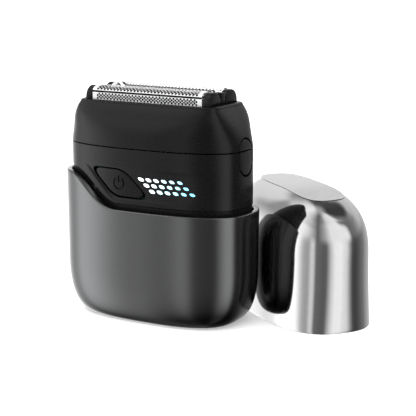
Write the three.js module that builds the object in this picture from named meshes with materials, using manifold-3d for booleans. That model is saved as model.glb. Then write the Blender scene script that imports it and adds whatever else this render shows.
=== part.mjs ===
// A palm-size electric shaver with two foils, and its travel cap standing beside it.
// Millimetres, +Z up, front towards -Y, origin on the flat base under the middle of the body.

import * as THREE from 'three';
import { mergeVertices } from 'three/addons/utils/BufferGeometryUtils.js';
import Module from 'manifold-3d';

const wasm = await Module();
wasm.setup();

// Driving dimensions.
const PLAN_POWER = 2.7; // superellipse power of the body seen from above
const SHELL_X = 31.45; // half width of the outer shell at its rim
const SHELL_Y = 16.3;
const SHELL_DRAFT = 0.3;
const SHELL_WALL = 1.55;
const SHELL_FLOOR = 2.2;
const GAP = 0.3;
const ROUND_X = 9.2; // how far the base rounding reaches in, at the ends
const ROUND_Y = 5.5; // and at the front and back
const ROUND_Z = 18.4;
const ROUND_POWER_X = 2.5;
const ROUND_POWER_Y = 2.9;

const RIM_Z = 35.2; // low stretch of the rim
const WAVE_Z = 44.8; // high stretch, at the left end
const WAVE_LEFT = -28;
const WAVE_RIGHT = -6.5;

const BODY_X = SHELL_X - SHELL_WALL - GAP;
const BODY_Y = SHELL_Y - SHELL_WALL - GAP;
const BODY_WALL = 1.6;
const BODY_FLOOR = SHELL_FLOOR + GAP;
const PARTING_Z = 53.5;

const WAVE_PULL = 0.42; // length of the wave's handles, as a share of its span
const SEAL_LOW = 29.4; // rubber seal in a groove around the body
const SEAL_HIGH = 31;
const SEAL_DEPTH = 0.7;

const BUTTON = { x: -6.5, z: 43.1, width: 12.3, height: 8.1, slant: -1.1, corner: 2.9, travel: 0.5 };
const BUTTON_LIP = 0.9; // how far the button's lip reaches behind the wall
const LIGHTS = { rows: 3, columns: 6, x: 1.5, z: 44.8, pitch: 2.6, drop: 1.68, shift: 1.9 };
const LIGHT = { halfWidth: 1, halfHeight: 0.62, lean: 0.5, sides: 8, gap: 0.12, border: 1.6 };
const GUIDE = { front: -10, back: -9.4 }; // plate behind the lights
const PORT = { z: 12, width: 9, height: 3.2, depth: 7.3, wall: 0.35, gap: 0.4 };
const RELEASE = { width: 8, low: 46.2, high: 57.3 };
const RELEASE_FLANGE = { inner: 25.6, outer: 26.8, halfWidth: 5 };
const RELEASE_SPRING = { radius: 1.7, wire: 0.3, turns: 3, length: 3.6, x: 22.2, z: 48.6 };

const HEAD_Z = PARTING_Z + GAP;
const HEAD_TOP = 67;
const CEILING_Z = 65;
const FOIL_Y = 5; // distance of each foil's middle from the middle plane
const FOIL_HALF = 3.4;
const FOIL_LENGTH = 38.2;
const FOIL_LOW = 66.9;
const FOIL_SHOULDER = 69.4;
const FOIL_CREST = 71.1;
const FOIL_SHEET = 0.3;
const CARRIER_X = 21.7;
const CARRIER_LOW = 63.4;
const CARRIER_HIGH = 66.6;
const CARRIER_WALL = 0.5;
const CARRIER_INSIDE_X = 19;
const END_CAP_TOP = 71.3;
const END_RADIUS = FOIL_HALF + 0.1;
const WINDOW_GAP = 0.35;
const FLANGE = { x: 14, y: 4.15, height: 1.3 }; // keeps a carrier from leaving the head

const DECK_LOW = 50.6;
const DECK_HIGH = 52.8;
const SCREW = { x: 14, y: 6, hole: 1.2, shank: 0.95, head: 1.9, drive: 0.8, reach: 2.8 };
const BRIDGE_LOW = 57.2;
const BRIDGE_HIGH = 59.2;
const POST_RADIUS = 1.4;
const POST_TOP = 63.4;
const THROW = 1; // eccentric offset, so the cutters travel 1 mm each way
const PIN_RADIUS = 1.2;
// The bridge's opening clears the eccentric pin at every angle and every place of the bridge.
const SLOT_RADIUS = 2 * THROW + PIN_RADIUS + 0.4;
const LEAF_X = 10.5; // the two flexing leaves under the bridge
const HOLDER = { x: 16.5, y: 2.4, low: 62.4, high: 65.6 };
const CUTTER = { x: 16, y: 2.45, below: 0.8 };

const CELL_RADIUS = 7;
const CELL_LENGTH = 43;
const CELL_Z = 13.6;
const MOTOR_RADIUS = 10;
const MOTOR_HALF = 7.55;
const MOTOR_LOW = 22.6;
const MOTOR_HIGH = 46.9;
const MOTOR_BOSS = 3;
const SHAFT_TOP = 55.1;
const CAM = { radius: 4, low: 53.6, high: 56.2, bore: 1.2 };
const BOARD_Y = -9.2; // front face of the circuit board
const BOARD_THICK = 1;
const SWITCH_THICK = 1.5;
const TOUCH = 0.05; // space between pieces that rest on each other

const CAP = { x: 33.2, y: 27.5, turn: -37.4, height: 39.9, wall: 0.7, liner: 0.4, gap: 0.15 };
const CAP_DRAFT = 0.25;
const CAP_STRAIGHT = 21.6; // height where the cap's dome begins
const CAP_APEX = 41.7; // where the dome would close above its flat top
const CAP_CEILING = 36.3; // inside height of the liner
const CAP_DIP = 38.3; // low end of the scooped top
const SCOOP_START = 0;
const SCOOP_END = 31;
const DOME_POWER_X = 2.65;
const DOME_POWER_Y = 2.04;

const SIDES = 40;
const curveSegments = 5;

// Finishes.
function finish(color, roughness, metalness) {
  return new THREE.MeshStandardMaterial({ color, roughness, metalness });
}

const gunmetal = finish(0x5c5e62, 0.32, 1);
const blackPlastic = finish(0x1c1d1f, 0.5, 0);
const glossBlack = finish(0x0c0c0d, 0.2, 0);
const chrome = finish(0xdcdcde, 0.08, 1);
const steel = finish(0xb4b7ba, 0.3, 1);
const foilSteel = finish(0xc9cccf, 0.22, 1);
const lightGlass = finish(0x9fe8f2, 0.15, 0);
const greyPlastic = finish(0x6d7073, 0.55, 0);
const whitePlastic = finish(0xd8dadb, 0.5, 0);
const rubber = finish(0x222222, 0.85, 0);
const boardGreen = finish(0x1f5a3a, 0.5, 0);
const cellBlue = finish(0x2f5f9a, 0.4, 0);
const nickel = finish(0xbfbcae, 0.35, 1);

// Solids.
function solid(geometry) {
  const bare = geometry.clone();
  bare.deleteAttribute('normal');
  bare.deleteAttribute('uv');
  const merged = mergeVertices(bare, 1e-4);
  const corners = merged.index.array;
  const kept = [];
  for (let i = 0; i < corners.length; i += 3) {
    const [a, b, c] = corners.slice(i, i + 3);
    if (a !== b && b !== c && c !== a) kept.push(a, b, c);
  }
  const mesh = new wasm.Mesh({
    numProp: 3,
    vertProperties: new Float32Array(merged.attributes.position.array),
    triVerts: new Uint32Array(kept),
  });
  return new wasm.Manifold(mesh);
}

function place(parent, name, shape, material) {
  const { vertProperties, triVerts } = shape.getMesh();
  const geometry = new THREE.BufferGeometry();
  geometry.setAttribute('position', new THREE.BufferAttribute(vertProperties, 3));
  geometry.setIndex(new THREE.BufferAttribute(triVerts, 1));
  geometry.computeVertexNormals();
  const mesh = new THREE.Mesh(geometry, material);
  mesh.name = name;
  parent.add(mesh);
}

function roundPower(value, power) {
  return Math.sign(value) * Math.abs(value) ** (2 / power);
}

// A closed surface through superellipse sections {x, y, z, power}, given from the
// bottom of the axis up the outside and, for a cup, down the inside again.
function loft(sections) {
  const profile = sections.map((section) => new THREE.Vector2(section.x, section.z));
  const geometry = new THREE.LatheGeometry(profile, SIDES);
  const position = geometry.attributes.position;
  for (let i = 0; i < position.count; i += 1) {
    const { x, y, z, power = PLAN_POWER } = sections[i % sections.length];
    const angle = ((Math.floor(i / sections.length) % SIDES) / SIDES) * 2 * Math.PI;
    position.setXYZ(i, x * roundPower(Math.cos(angle), power), y * roundPower(Math.sin(angle), power), z);
  }
  return solid(geometry);
}

function onAxis(z) {
  return { x: 0, y: 0, z };
}

function extrude(shape, depth) {
  return new THREE.ExtrudeGeometry(shape, { depth, bevelEnabled: false, curveSegments });
}

function alongZ(shape, low, high) {
  return solid(extrude(shape, high - low).translate(0, 0, low));
}

function alongY(shape, near, far) {
  return solid(extrude(shape, far - near).rotateX(Math.PI / 2).translate(0, far, 0));
}

function alongX(shape, left, right) {
  const geometry = extrude(shape, right - left);
  const axes = [new THREE.Vector3(0, 1, 0), new THREE.Vector3(0, 0, 1), new THREE.Vector3(1, 0, 0)];
  geometry.applyMatrix4(new THREE.Matrix4().makeBasis(...axes));
  return solid(geometry.translate(left, 0, 0));
}

function box(x0, x1, y0, y1, z0, z1) {
  const geometry = new THREE.BoxGeometry(x1 - x0, y1 - y0, z1 - z0);
  return solid(geometry.translate((x0 + x1) / 2, (y0 + y1) / 2, (z0 + z1) / 2));
}

function rod(radius, x, y, low, high, sides = 20) {
  const geometry = new THREE.CylinderGeometry(radius, radius, high - low, sides);
  return solid(geometry.rotateX(Math.PI / 2).translate(x, y, (low + high) / 2));
}

function rodAlongX(radius, left, right, y, z, sides = 24) {
  const geometry = new THREE.CylinderGeometry(radius, radius, right - left, sides);
  return solid(geometry.rotateZ(Math.PI / 2).translate((left + right) / 2, y, z));
}

function spring(radius, wire, turns, from, to) {
  class Helix extends THREE.Curve {
    getPoint(t) {
      const angle = t * turns * 2 * Math.PI;
      const height = THREE.MathUtils.lerp(from + wire, to - wire, t);
      return new THREE.Vector3(radius * Math.cos(angle), radius * Math.sin(angle), height);
    }
  }
  const section = new THREE.Shape().absarc(0, 0, wire, 0, 2 * Math.PI);
  const options = { extrudePath: new Helix(), steps: turns * 7, curveSegments: 3, bevelEnabled: false };
  return solid(new THREE.ExtrudeGeometry(section, options));
}

// Outlines.
function polygon(points) {
  return new THREE.Shape(points.map(([x, y]) => new THREE.Vector2(x, y)));
}

function rectangle(x0, x1, y0, y1) {
  return polygon([[x0, y0], [x1, y0], [x1, y1], [x0, y1]]);
}

function disc(radius, x = 0, y = 0) {
  return new THREE.Shape().absarc(x, y, radius, 0, 2 * Math.PI);
}

function stadium(width, height, x, y) {
  const reach = (width - height) / 2;
  const shape = new THREE.Shape();
  shape.absarc(x + reach, y, height / 2, -Math.PI / 2, Math.PI / 2);
  shape.absarc(x - reach, y, height / 2, Math.PI / 2, (3 * Math.PI) / 2);
  return shape;
}

function superellipse(x, y, power) {
  const points = [];
  for (let i = 0; i < SIDES; i += 1) {
    const angle = (i / SIDES) * 2 * Math.PI;
    points.push([x * roundPower(Math.cos(angle), power), y * roundPower(Math.sin(angle), power)]);
  }
  return polygon(points);
}

// The power button's outline, a parallelogram with soft corners, grown outwards by grow.
function buttonOutline(grow) {
  const halfHeight = BUTTON.height / 2 + grow;
  const halfWidth = BUTTON.width / 2 + grow * Math.hypot(1, BUTTON.slant);
  const lean = BUTTON.slant * halfHeight;
  const corners = [
    [BUTTON.x - halfWidth - lean, BUTTON.z - halfHeight],
    [BUTTON.x + halfWidth - lean, BUTTON.z - halfHeight],
    [BUTTON.x + halfWidth + lean, BUTTON.z + halfHeight],
    [BUTTON.x - halfWidth + lean, BUTTON.z + halfHeight],
  ].map(([x, z]) => new THREE.Vector2(x, z));
  const shape = new THREE.Shape();
  corners.forEach((corner, i) => {
    const before = corners[(i + 3) % 4];
    const after = corners[(i + 1) % 4];
    const enter = corner.clone().lerp(before, BUTTON.corner / corner.distanceTo(before));
    const leave = corner.clone().lerp(after, BUTTON.corner / corner.distanceTo(after));
    if (i === 0) shape.moveTo(enter.x, enter.y);
    else shape.lineTo(enter.x, enter.y);
    shape.quadraticCurveTo(corner.x, corner.y, leave.x, leave.y);
  });
  return shape;
}

const wavePull = (WAVE_RIGHT - WAVE_LEFT) * WAVE_PULL;

// Everything above the rim line: flat on the right, rising in an S to the left end.
function aboveWave() {
  const far = 2 * SHELL_X;
  const shape = new THREE.Shape();
  shape.moveTo(-far, WAVE_Z);
  shape.lineTo(WAVE_LEFT, WAVE_Z);
  shape.bezierCurveTo(WAVE_LEFT + wavePull, WAVE_Z, WAVE_RIGHT - wavePull, RIM_Z, WAVE_RIGHT, RIM_Z);
  shape.lineTo(far, RIM_Z);
  shape.lineTo(far, 3 * RIM_Z);
  shape.lineTo(-far, 3 * RIM_Z);
  return shape;
}

function belowWave() {
  const far = 2 * SHELL_X;
  const rise = WAVE_Z - RIM_Z;
  const shape = new THREE.Shape();
  shape.moveTo(-far, -1);
  shape.lineTo(WAVE_RIGHT, -1);
  shape.lineTo(WAVE_RIGHT, 0);
  shape.bezierCurveTo(WAVE_RIGHT - wavePull, 0, WAVE_LEFT + wavePull, rise, WAVE_LEFT, rise);
  shape.lineTo(-far, rise);
  return shape;
}

// Sections of the rounded base from its floor up to the top of the rounding.
function roundedBase(halfX, halfY, floor) {
  const steps = [0, 0.02, 0.08, 0.2, 0.4, 0.68, 1];
  return steps.map((step) => {
    const k = 1 - step;
    return {
      x: halfX - ROUND_X * (1 - (1 - k ** ROUND_POWER_X) ** (1 / ROUND_POWER_X)),
      y: halfY - ROUND_Y * (1 - (1 - k ** ROUND_POWER_Y) ** (1 / ROUND_POWER_Y)),
      z: floor + step * (ROUND_Z - floor),
    };
  });
}

function cup(outer, inner, outerFloor, innerFloor) {
  return loft([onAxis(outerFloor), ...outer, ...inner.reverse(), onAxis(innerFloor)]);
}

const shaver = new THREE.Group();
const stadiumPort = (grow) => stadium(PORT.width + 2 * grow, PORT.height + 2 * grow, 0, PORT.z);

// Outer shell: a metal cup with the wave rim and the charging port's opening.
const shellBase = roundedBase(SHELL_X - SHELL_DRAFT / 2, SHELL_Y - SHELL_DRAFT / 2, 0);
const cavityX = SHELL_X - SHELL_WALL;
const cavityY = SHELL_Y - SHELL_WALL;
const shellBlank = cup(
  [...shellBase, { x: SHELL_X, y: SHELL_Y, z: RIM_Z }, { x: SHELL_X, y: SHELL_Y, z: WAVE_Z }],
  [...roundedBase(cavityX, cavityY, SHELL_FLOOR), { x: cavityX, y: cavityY, z: WAVE_Z }],
  0,
  SHELL_FLOOR,
);
const outerShell = shellBlank
  .subtract(alongY(aboveWave(), -2 * SHELL_Y, 2 * SHELL_Y))
  .subtract(alongY(stadiumPort(PORT.gap), BODY_Y - 4, 2 * SHELL_Y));
place(shaver, 'outer_shell', outerShell, gunmetal);

// Inner body: a black cup that stands in the shell and carries everything inside.
const bodyWall = [
  { x: BODY_X, y: BODY_Y, z: SEAL_LOW },
  { x: BODY_X - SEAL_DEPTH, y: BODY_Y - SEAL_DEPTH, z: SEAL_LOW },
  { x: BODY_X - SEAL_DEPTH, y: BODY_Y - SEAL_DEPTH, z: SEAL_HIGH },
  { x: BODY_X, y: BODY_Y, z: SEAL_HIGH },
  { x: BODY_X, y: BODY_Y, z: PARTING_Z },
];
const hollowX = BODY_X - BODY_WALL;
const hollowY = BODY_Y - BODY_WALL;
const HOLLOW_FLOOR = BODY_FLOOR + BODY_WALL;
let innerBody = cup(
  [...roundedBase(BODY_X, BODY_Y, BODY_FLOOR), ...bodyWall],
  [...roundedBase(hollowX, hollowY, HOLLOW_FLOOR), { x: hollowX, y: hollowY, z: PARTING_Z }],
  BODY_FLOOR,
  HOLLOW_FLOOR,
);
innerBody = innerBody.subtract(alongY(buttonOutline(0.35), -2 * BODY_Y, -BODY_Y / 2));
innerBody = innerBody.subtract(alongY(stadiumPort(PORT.gap), BODY_Y / 2, 2 * BODY_Y));

// Each light is a slanted oval; the same outline, grown, makes its hole.
function lightOutline(row, column, grow) {
  const x = LIGHTS.x + column * LIGHTS.pitch + row * LIGHTS.shift;
  const z = LIGHTS.z - row * LIGHTS.drop;
  const points = [];
  for (let i = 0; i < LIGHT.sides; i += 1) {
    const angle = (i / LIGHT.sides) * 2 * Math.PI;
    const rise = (LIGHT.halfHeight + grow) * Math.sin(angle);
    points.push([x + (LIGHT.halfWidth + grow) * Math.cos(angle) - LIGHT.lean * rise, z + rise]);
  }
  return polygon(points);
}

const lastRow = LIGHTS.rows - 1;
const lightsRight = LIGHTS.x + (LIGHTS.columns - 1) * LIGHTS.pitch + lastRow * LIGHTS.shift;
const lightsLow = LIGHTS.z - lastRow * LIGHTS.drop;
let pips = null;
for (let row = 0; row < LIGHTS.rows; row += 1) {
  for (let column = 0; column < LIGHTS.columns; column += 1) {
    const hole = alongY(lightOutline(row, column, LIGHT.gap), -2 * BODY_Y, GUIDE.front + GAP);
    const pip = alongY(lightOutline(row, column, 0), -2 * BODY_Y, GUIDE.front);
    innerBody = innerBody.subtract(hole);
    pips = pips ? pips.add(pip) : pip;
  }
}
const flush = loft([
  onAxis(PARTING_Z - 20),
  { x: BODY_X - 0.15, y: BODY_Y - 0.15, z: PARTING_Z - 20 },
  { x: BODY_X - 0.15, y: BODY_Y - 0.15, z: PARTING_Z },
  onAxis(PARTING_Z),
]);
const guideOutline = rectangle(
  LIGHTS.x - LIGHT.border,
  lightsRight + LIGHT.border,
  lightsLow - 1.3,
  LIGHTS.z + 1.3,
);
const guidePlate = alongY(guideOutline, GUIDE.front - TOUCH, GUIDE.back);
place(shaver, 'led_light_guide', pips.intersect(flush).add(guidePlate), lightGlass);

// A release button's outline: straight sides, a round lower end, and the tab above the parting line
// completes the capsule.
function capsule(grow, low, high) {
  const radius = RELEASE.width / 2 + grow;
  const shape = new THREE.Shape();
  shape.absarc(0, RELEASE.high - RELEASE.width / 2, radius, 0, Math.PI);
  shape.absarc(0, RELEASE.low + RELEASE.width / 2, radius, Math.PI, 2 * Math.PI);
  return { shape, limit: rectangle(-radius - 1, radius + 1, low, high) };
}

function capsuleBlock(grow, low, high, left, right) {
  const { shape, limit } = capsule(grow, low, high);
  return alongX(shape, left, right).intersect(alongX(limit, left, right));
}

const notch = capsuleBlock(GAP, RELEASE.low - 1, PARTING_Z + 1, -2 * BODY_X, 2 * BODY_X);
const core = box(3 - hollowX, hollowX - 3, -BODY_Y, BODY_Y, 0, 2 * PARTING_Z);
innerBody = innerBody.subtract(notch.subtract(core));
place(shaver, 'inner_body', innerBody, blackPlastic);

const sealRing = loft([
  { x: cavityX - 0.1, y: cavityY - 0.1, z: SEAL_LOW + 0.2 },
  { x: cavityX - 0.1, y: cavityY - 0.1, z: SEAL_HIGH - 0.2 },
  { x: BODY_X - SEAL_DEPTH + 0.1, y: BODY_Y - SEAL_DEPTH + 0.1, z: SEAL_HIGH - 0.2 },
  { x: BODY_X - SEAL_DEPTH + 0.1, y: BODY_Y - SEAL_DEPTH + 0.1, z: SEAL_LOW + 0.2 },
  { x: cavityX - 0.1, y: cavityY - 0.1, z: SEAL_LOW + 0.2 },
]);
place(shaver, 'rim_seal', sealRing, rubber);

// Battery, its tabs and its cradle.
const cell = rodAlongX(CELL_RADIUS, -CELL_LENGTH / 2, CELL_LENGTH / 2, 0, CELL_Z, 28);
place(shaver, 'battery_cell', cell, cellBlue);
for (const [name, side] of [['left', -1], ['right', 1]]) {
  const inside = side * (CELL_LENGTH / 2 + 0.1);
  const outside = inside + side * 0.5;
  const tab = box(Math.min(inside, outside), Math.max(inside, outside), -3, 3, CELL_Z - 3, CELL_Z + 7);
  place(shaver, `battery_tab_${name}`, tab, nickel);
}
const cradleBlock = box(-15, 15, -6.5, 6.5, HOLLOW_FLOOR + 2 * GAP, CELL_Z - 3);
const cradle = cradleBlock.subtract(rodAlongX(CELL_RADIUS + 0.2, -25, 25, 0, CELL_Z, 28));
place(shaver, 'battery_cradle', cradle, blackPlastic);

// Charging socket at the back, on its small board.
const socketFront = BODY_Y + 1;
const socketBack = socketFront - PORT.depth;
const socketShell = alongY(stadiumPort(0), socketBack, socketFront);
const socketHollow = alongY(stadiumPort(-PORT.wall), socketBack + 0.8, socketFront + 1);
const tongueOutline = rectangle(-3.3, 3.3, PORT.z - PORT.wall, PORT.z + PORT.wall);
const tongue = alongY(tongueOutline, socketBack + 0.5, socketFront - 1);
place(shaver, 'usb_c_socket', socketShell.subtract(socketHollow).add(tongue), steel);
const boardLow = PORT.z - PORT.height / 2 - 1.1;
const portBoard = box(-7, 7, CELL_RADIUS + 0.9, 11.8, boardLow, boardLow + BOARD_THICK);
place(shaver, 'port_board', portBoard, boardGreen);

// Circuit board with the power switch.
const board = box(-18, 20, BOARD_Y, BOARD_Y + BOARD_THICK, 26, 50);
place(shaver, 'circuit_board', board, boardGreen);
const switchFront = BOARD_Y - TOUCH - SWITCH_THICK;
const switchOutline = rectangle(BUTTON.x - 2, BUTTON.x + 2, BUTTON.z - 2, BUTTON.z + 2);
place(shaver, 'power_switch', alongY(switchOutline, switchFront, BOARD_Y - TOUCH), steel);

// Motor and drive.
const motorCorner = Math.asin(MOTOR_HALF / MOTOR_RADIUS);
const motorOutline = new THREE.Shape();
motorOutline.absarc(0, 0, MOTOR_RADIUS, -motorCorner, motorCorner);
motorOutline.absarc(0, 0, MOTOR_RADIUS, Math.PI - motorCorner, Math.PI + motorCorner);
const boss = rod(MOTOR_BOSS, 0, 0, MOTOR_HIGH - 1, MOTOR_HIGH + 1.3);
place(shaver, 'motor_can', alongZ(motorOutline, MOTOR_LOW, MOTOR_HIGH).add(boss), steel);

const screwSpots = [[-1, -1], [1, -1], [1, 1], [-1, 1]].map(([x, y]) => [x * SCREW.x, y * SCREW.y]);
const drill = (radius, x, y, sides) => rod(radius, x, y, MOTOR_LOW, 2 * DECK_HIGH, sides);
let chassis = box(-17, 17, -7.8, 9.5, MOTOR_HIGH + 0.2, DECK_LOW - 0.2);
chassis = chassis.subtract(drill(MOTOR_BOSS + 0.4, 0, 0));
let deck = alongZ(superellipse(23.5, hollowY - 0.4, PLAN_POWER), DECK_LOW, DECK_HIGH);
deck = deck.subtract(drill(2.7, 0, 0));
for (const [x, y] of screwSpots) {
  chassis = chassis.subtract(drill(SCREW.hole, x, y, 12));
  deck = deck.subtract(drill(SCREW.hole, x, y, 12));
}
place(shaver, 'drive_chassis', chassis, greyPlastic);
place(shaver, 'drive_deck', deck, blackPlastic);
screwSpots.forEach(([x, y], i) => {
  const shank = rod(SCREW.shank, x, y, DECK_LOW - SCREW.reach, DECK_HIGH + 0.5, 12);
  const screwHead = rod(SCREW.head, x, y, DECK_HIGH + TOUCH, DECK_HIGH + 0.95, 16);
  const drive = rod(SCREW.drive, x, y, DECK_HIGH + 0.5, DECK_HIGH + 2, 6);
  place(shaver, `deck_screw_${i + 1}`, shank.add(screwHead).subtract(drive), steel);
});
const sealBlank = rod(2.45, 0, 0, DECK_LOW + 0.2, DECK_HIGH - 0.2);
place(shaver, 'shaft_seal', sealBlank.subtract(drill(1.3, 0, 0)), rubber);
place(shaver, 'motor_shaft', rod(1, 0, 0, MOTOR_HIGH + 1.5, SHAFT_TOP), steel);
const camBore = rod(CAM.bore, 0, 0, CAM.low - 0.6, SHAFT_TOP + 0.2);
const camDisc = rod(CAM.radius, 0, 0, CAM.low, CAM.high, 28).subtract(camBore);
const pin = rod(PIN_RADIUS, THROW, 0, CAM.high - 0.2, BRIDGE_HIGH - 0.4);
place(shaver, 'eccentric_cam', camDisc.add(pin), whitePlastic);

// The oscillating bridge, carried by two flexing leaves.
const bridgeSlot = rod(SLOT_RADIUS, 0, 0, BRIDGE_LOW - 1, BRIDGE_HIGH + 1, 28);
let bridge = box(-12, 12, -7, 7, BRIDGE_LOW, BRIDGE_HIGH).subtract(bridgeSlot);
for (const y of [-FOIL_Y, FOIL_Y]) {
  bridge = bridge.add(rod(POST_RADIUS, 0, y, BRIDGE_HIGH - 0.5, POST_TOP));
}
place(shaver, 'drive_bridge', bridge, whitePlastic);
for (const [name, side] of [['left', -1], ['right', 1]]) {
  const x = side * LEAF_X;
  const leaf = box(x - 0.25, x + 0.25, -5, 5, DECK_HIGH + 0.6, BRIDGE_LOW - GAP);
  const foot = box(x - 1.2, x + 1.2, -5, 5, DECK_HIGH + TOUCH, DECK_HIGH + 0.9);
  place(shaver, `bridge_flexure_${name}`, leaf.add(foot), whitePlastic);
}

// Cutters: holder, arched cutter and spring under each foil.
function arch(middle, half, low, shoulder, crest) {
  const shape = new THREE.Shape();
  shape.moveTo(middle - half, low);
  shape.lineTo(middle + half, low);
  shape.lineTo(middle + half, shoulder);
  shape.absellipse(middle, shoulder, half, crest - shoulder, 0, Math.PI);
  return shape;
}

for (const [name, side] of [['front', -1], ['rear', 1]]) {
  const y = side * FOIL_Y;
  const holder = box(-HOLDER.x, HOLDER.x, y - HOLDER.y, y + HOLDER.y, HOLDER.low, HOLDER.high);
  const socket = rod(POST_RADIUS + 0.35, 0, y, HOLDER.low - 1, POST_TOP + 1.6);
  place(shaver, `blade_holder_${name}`, holder.subtract(socket), whitePlastic);
  const cutterHeights = [HOLDER.high + 0.1, FOIL_SHOULDER - CUTTER.below, FOIL_CREST - CUTTER.below];
  const cutterOutline = arch(y, CUTTER.y, ...cutterHeights);
  place(shaver, `inner_cutter_${name}`, alongX(cutterOutline, -CUTTER.x, CUTTER.x), steel);
  const coil = spring(2, 0.3, 3, BRIDGE_HIGH + 0.1, HOLDER.low - 0.1).translate([0, y, 0]);
  place(shaver, `blade_spring_${name}`, coil, steel);

  const foilOutline = arch(y, FOIL_HALF, FOIL_LOW, FOIL_SHOULDER, FOIL_CREST);
  const foilInside = arch(y, FOIL_HALF - FOIL_SHEET, FOIL_LOW - 1, FOIL_SHOULDER, FOIL_CREST - FOIL_SHEET);
  const foilBlank = alongX(foilOutline, -FOIL_LENGTH / 2, FOIL_LENGTH / 2);
  const foil = foilBlank.subtract(alongX(foilInside, -FOIL_LENGTH, FOIL_LENGTH));
  place(shaver, `foil_${name}`, foil, foilSteel);

  const insideY = FOIL_HALF - CARRIER_WALL;
  const insideSpan = [y - insideY, y + insideY, CARRIER_LOW - 1, CARRIER_HIGH + 1];
  const ringInside = box(-CARRIER_INSIDE_X, CARRIER_INSIDE_X, ...insideSpan);
  const ring = box(-CARRIER_X, CARRIER_X, y - FOIL_HALF, y + FOIL_HALF, CARRIER_LOW, CARRIER_HIGH);
  const flangeHigh = CARRIER_LOW + FLANGE.height;
  const flange = box(-FLANGE.x, FLANGE.x, y - FLANGE.y, y + FLANGE.y, CARRIER_LOW, flangeHigh);
  let carrier = ring.add(flange).subtract(ringInside);
  const endOutline = new THREE.Shape();
  endOutline.moveTo(y - END_RADIUS, CARRIER_HIGH - 1);
  endOutline.lineTo(y + END_RADIUS, CARRIER_HIGH - 1);
  endOutline.absarc(y, END_CAP_TOP - END_RADIUS, END_RADIUS, 0, Math.PI);
  carrier = carrier.add(alongX(endOutline, -CARRIER_X, -FOIL_LENGTH / 2 - GAP));
  carrier = carrier.add(alongX(endOutline, FOIL_LENGTH / 2 + GAP, CARRIER_X));
  place(shaver, `foil_carrier_${name}`, carrier, glossBlack);
}

// Head frame: a hollow black cover whose plan squares up towards the two foil windows.
const headOutside = [
  { x: BODY_X, y: BODY_Y, z: HEAD_Z, power: PLAN_POWER },
  { x: 28.83, y: 14.3, z: 57.5, power: 2.85 },
  { x: 28.07, y: 13.97, z: 59.5, power: 3.2 },
  { x: 27.37, y: 13.55, z: 61, power: 3.6 },
  { x: 25.7, y: 12.15, z: 64, power: 5.2 },
  { x: 24.4, y: 10.7, z: 66, power: 6.6 },
  { x: 23.6, y: 9.9, z: HEAD_TOP, power: 8.5 },
];
const headInside = [
  { x: hollowX, y: hollowY, z: HEAD_Z, power: PLAN_POWER },
  { x: 27.3, y: 12.7, z: 57.5, power: 2.85 },
  { x: 26, y: 12.1, z: 61, power: 3.6 },
  { x: 24.4, y: 10.8, z: 64, power: 5 },
  { x: 23.8, y: 10.2, z: CEILING_Z, power: 5.6 },
];
let head = loft([onAxis(CEILING_Z), ...headInside.toReversed(), ...headOutside, onAxis(HEAD_TOP)]);
const windowX = CARRIER_X + WINDOW_GAP;
const windowNear = FOIL_Y - END_RADIUS - WINDOW_GAP;
const windowFar = FOIL_Y + END_RADIUS + WINDOW_GAP;
head = head.subtract(box(-windowX, windowX, windowNear, windowFar, CEILING_Z - 1, HEAD_TOP + 1));
head = head.subtract(box(-windowX, windowX, -windowFar, -windowNear, CEILING_Z - 1, HEAD_TOP + 1));
for (const [left, right] of [[-CARRIER_X, -FOIL_LENGTH / 2], [FOIL_LENGTH / 2, CARRIER_X]]) {
  head = head.add(box(left, right, 0.1 - windowNear, windowNear - 0.1, HEAD_TOP - 1, FOIL_CREST - 0.7));
}
const headNotch = capsuleBlock(GAP, HEAD_Z - 1, RELEASE.high + 1, -2 * BODY_X, 2 * BODY_X);
head = head.subtract(headNotch.subtract(core));
place(shaver, 'head_frame', head, blackPlastic);

// Release buttons, their springs, and the tabs of the head above them.
const bodySlab = loft([
  onAxis(RELEASE.low - 1),
  { x: BODY_X - TOUCH, y: BODY_Y - TOUCH, z: RELEASE.low - 1 },
  { x: BODY_X - TOUCH, y: BODY_Y - TOUCH, z: PARTING_Z },
  { ...headOutside[1], x: headOutside[1].x - TOUCH },
  onAxis(headOutside[1].z),
]);
const { inner, outer, halfWidth } = RELEASE_FLANGE;
for (const [name, side] of [['left', -1], ['right', 1]]) {
  const span = (from, to) => (side < 0 ? [-to, -from] : [from, to]);
  const faceBlock = capsuleBlock(0, RELEASE.low, PARTING_Z - 0.2, ...span(inner, BODY_X + 1));
  const flangeBlock = [...span(inner, outer), -halfWidth, halfWidth];
  const flange = box(...flangeBlock, RELEASE.low - 0.8, PARTING_Z - 1);
  const pocket = rodAlongX(2.3, ...span(inner - 1, inner + 2), 0, RELEASE_SPRING.z, 16);
  const button = faceBlock.intersect(bodySlab).add(flange).subtract(pocket);
  place(shaver, `release_button_${name}`, button, blackPlastic);

  const { radius, wire, turns, length, x, z } = RELEASE_SPRING;
  const coil = spring(radius, wire, turns, 0, length).rotate([0, side * 90, 0]).translate([side * x, 0, z]);
  place(shaver, `release_spring_${name}`, coil, steel);

  const tab = capsuleBlock(0, HEAD_Z, RELEASE.high, ...span(27, BODY_X + 1)).intersect(bodySlab);
  place(shaver, `head_tab_${name}`, tab, blackPlastic);
}

// Power button: face in the body's opening, a lip behind the wall and a plunger to the switch.
const buttonFace = alongY(buttonOutline(0), -2 * BODY_Y, -12).intersect(flush);
const behindWall = loft([
  onAxis(36),
  { x: hollowX - 0.3, y: hollowY - 0.3, z: 36 },
  { x: hollowX - 0.3, y: hollowY - 0.3, z: 50 },
  onAxis(50),
]);
const lip = alongY(buttonOutline(BUTTON_LIP), -2 * BODY_Y, -11.6).intersect(behindWall);
const plunger = alongY(disc(1.2, BUTTON.x, BUTTON.z), -12.2, switchFront - BUTTON.travel - 0.15);
place(shaver, 'power_button', buttonFace.add(lip).add(plunger), glossBlack);

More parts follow.
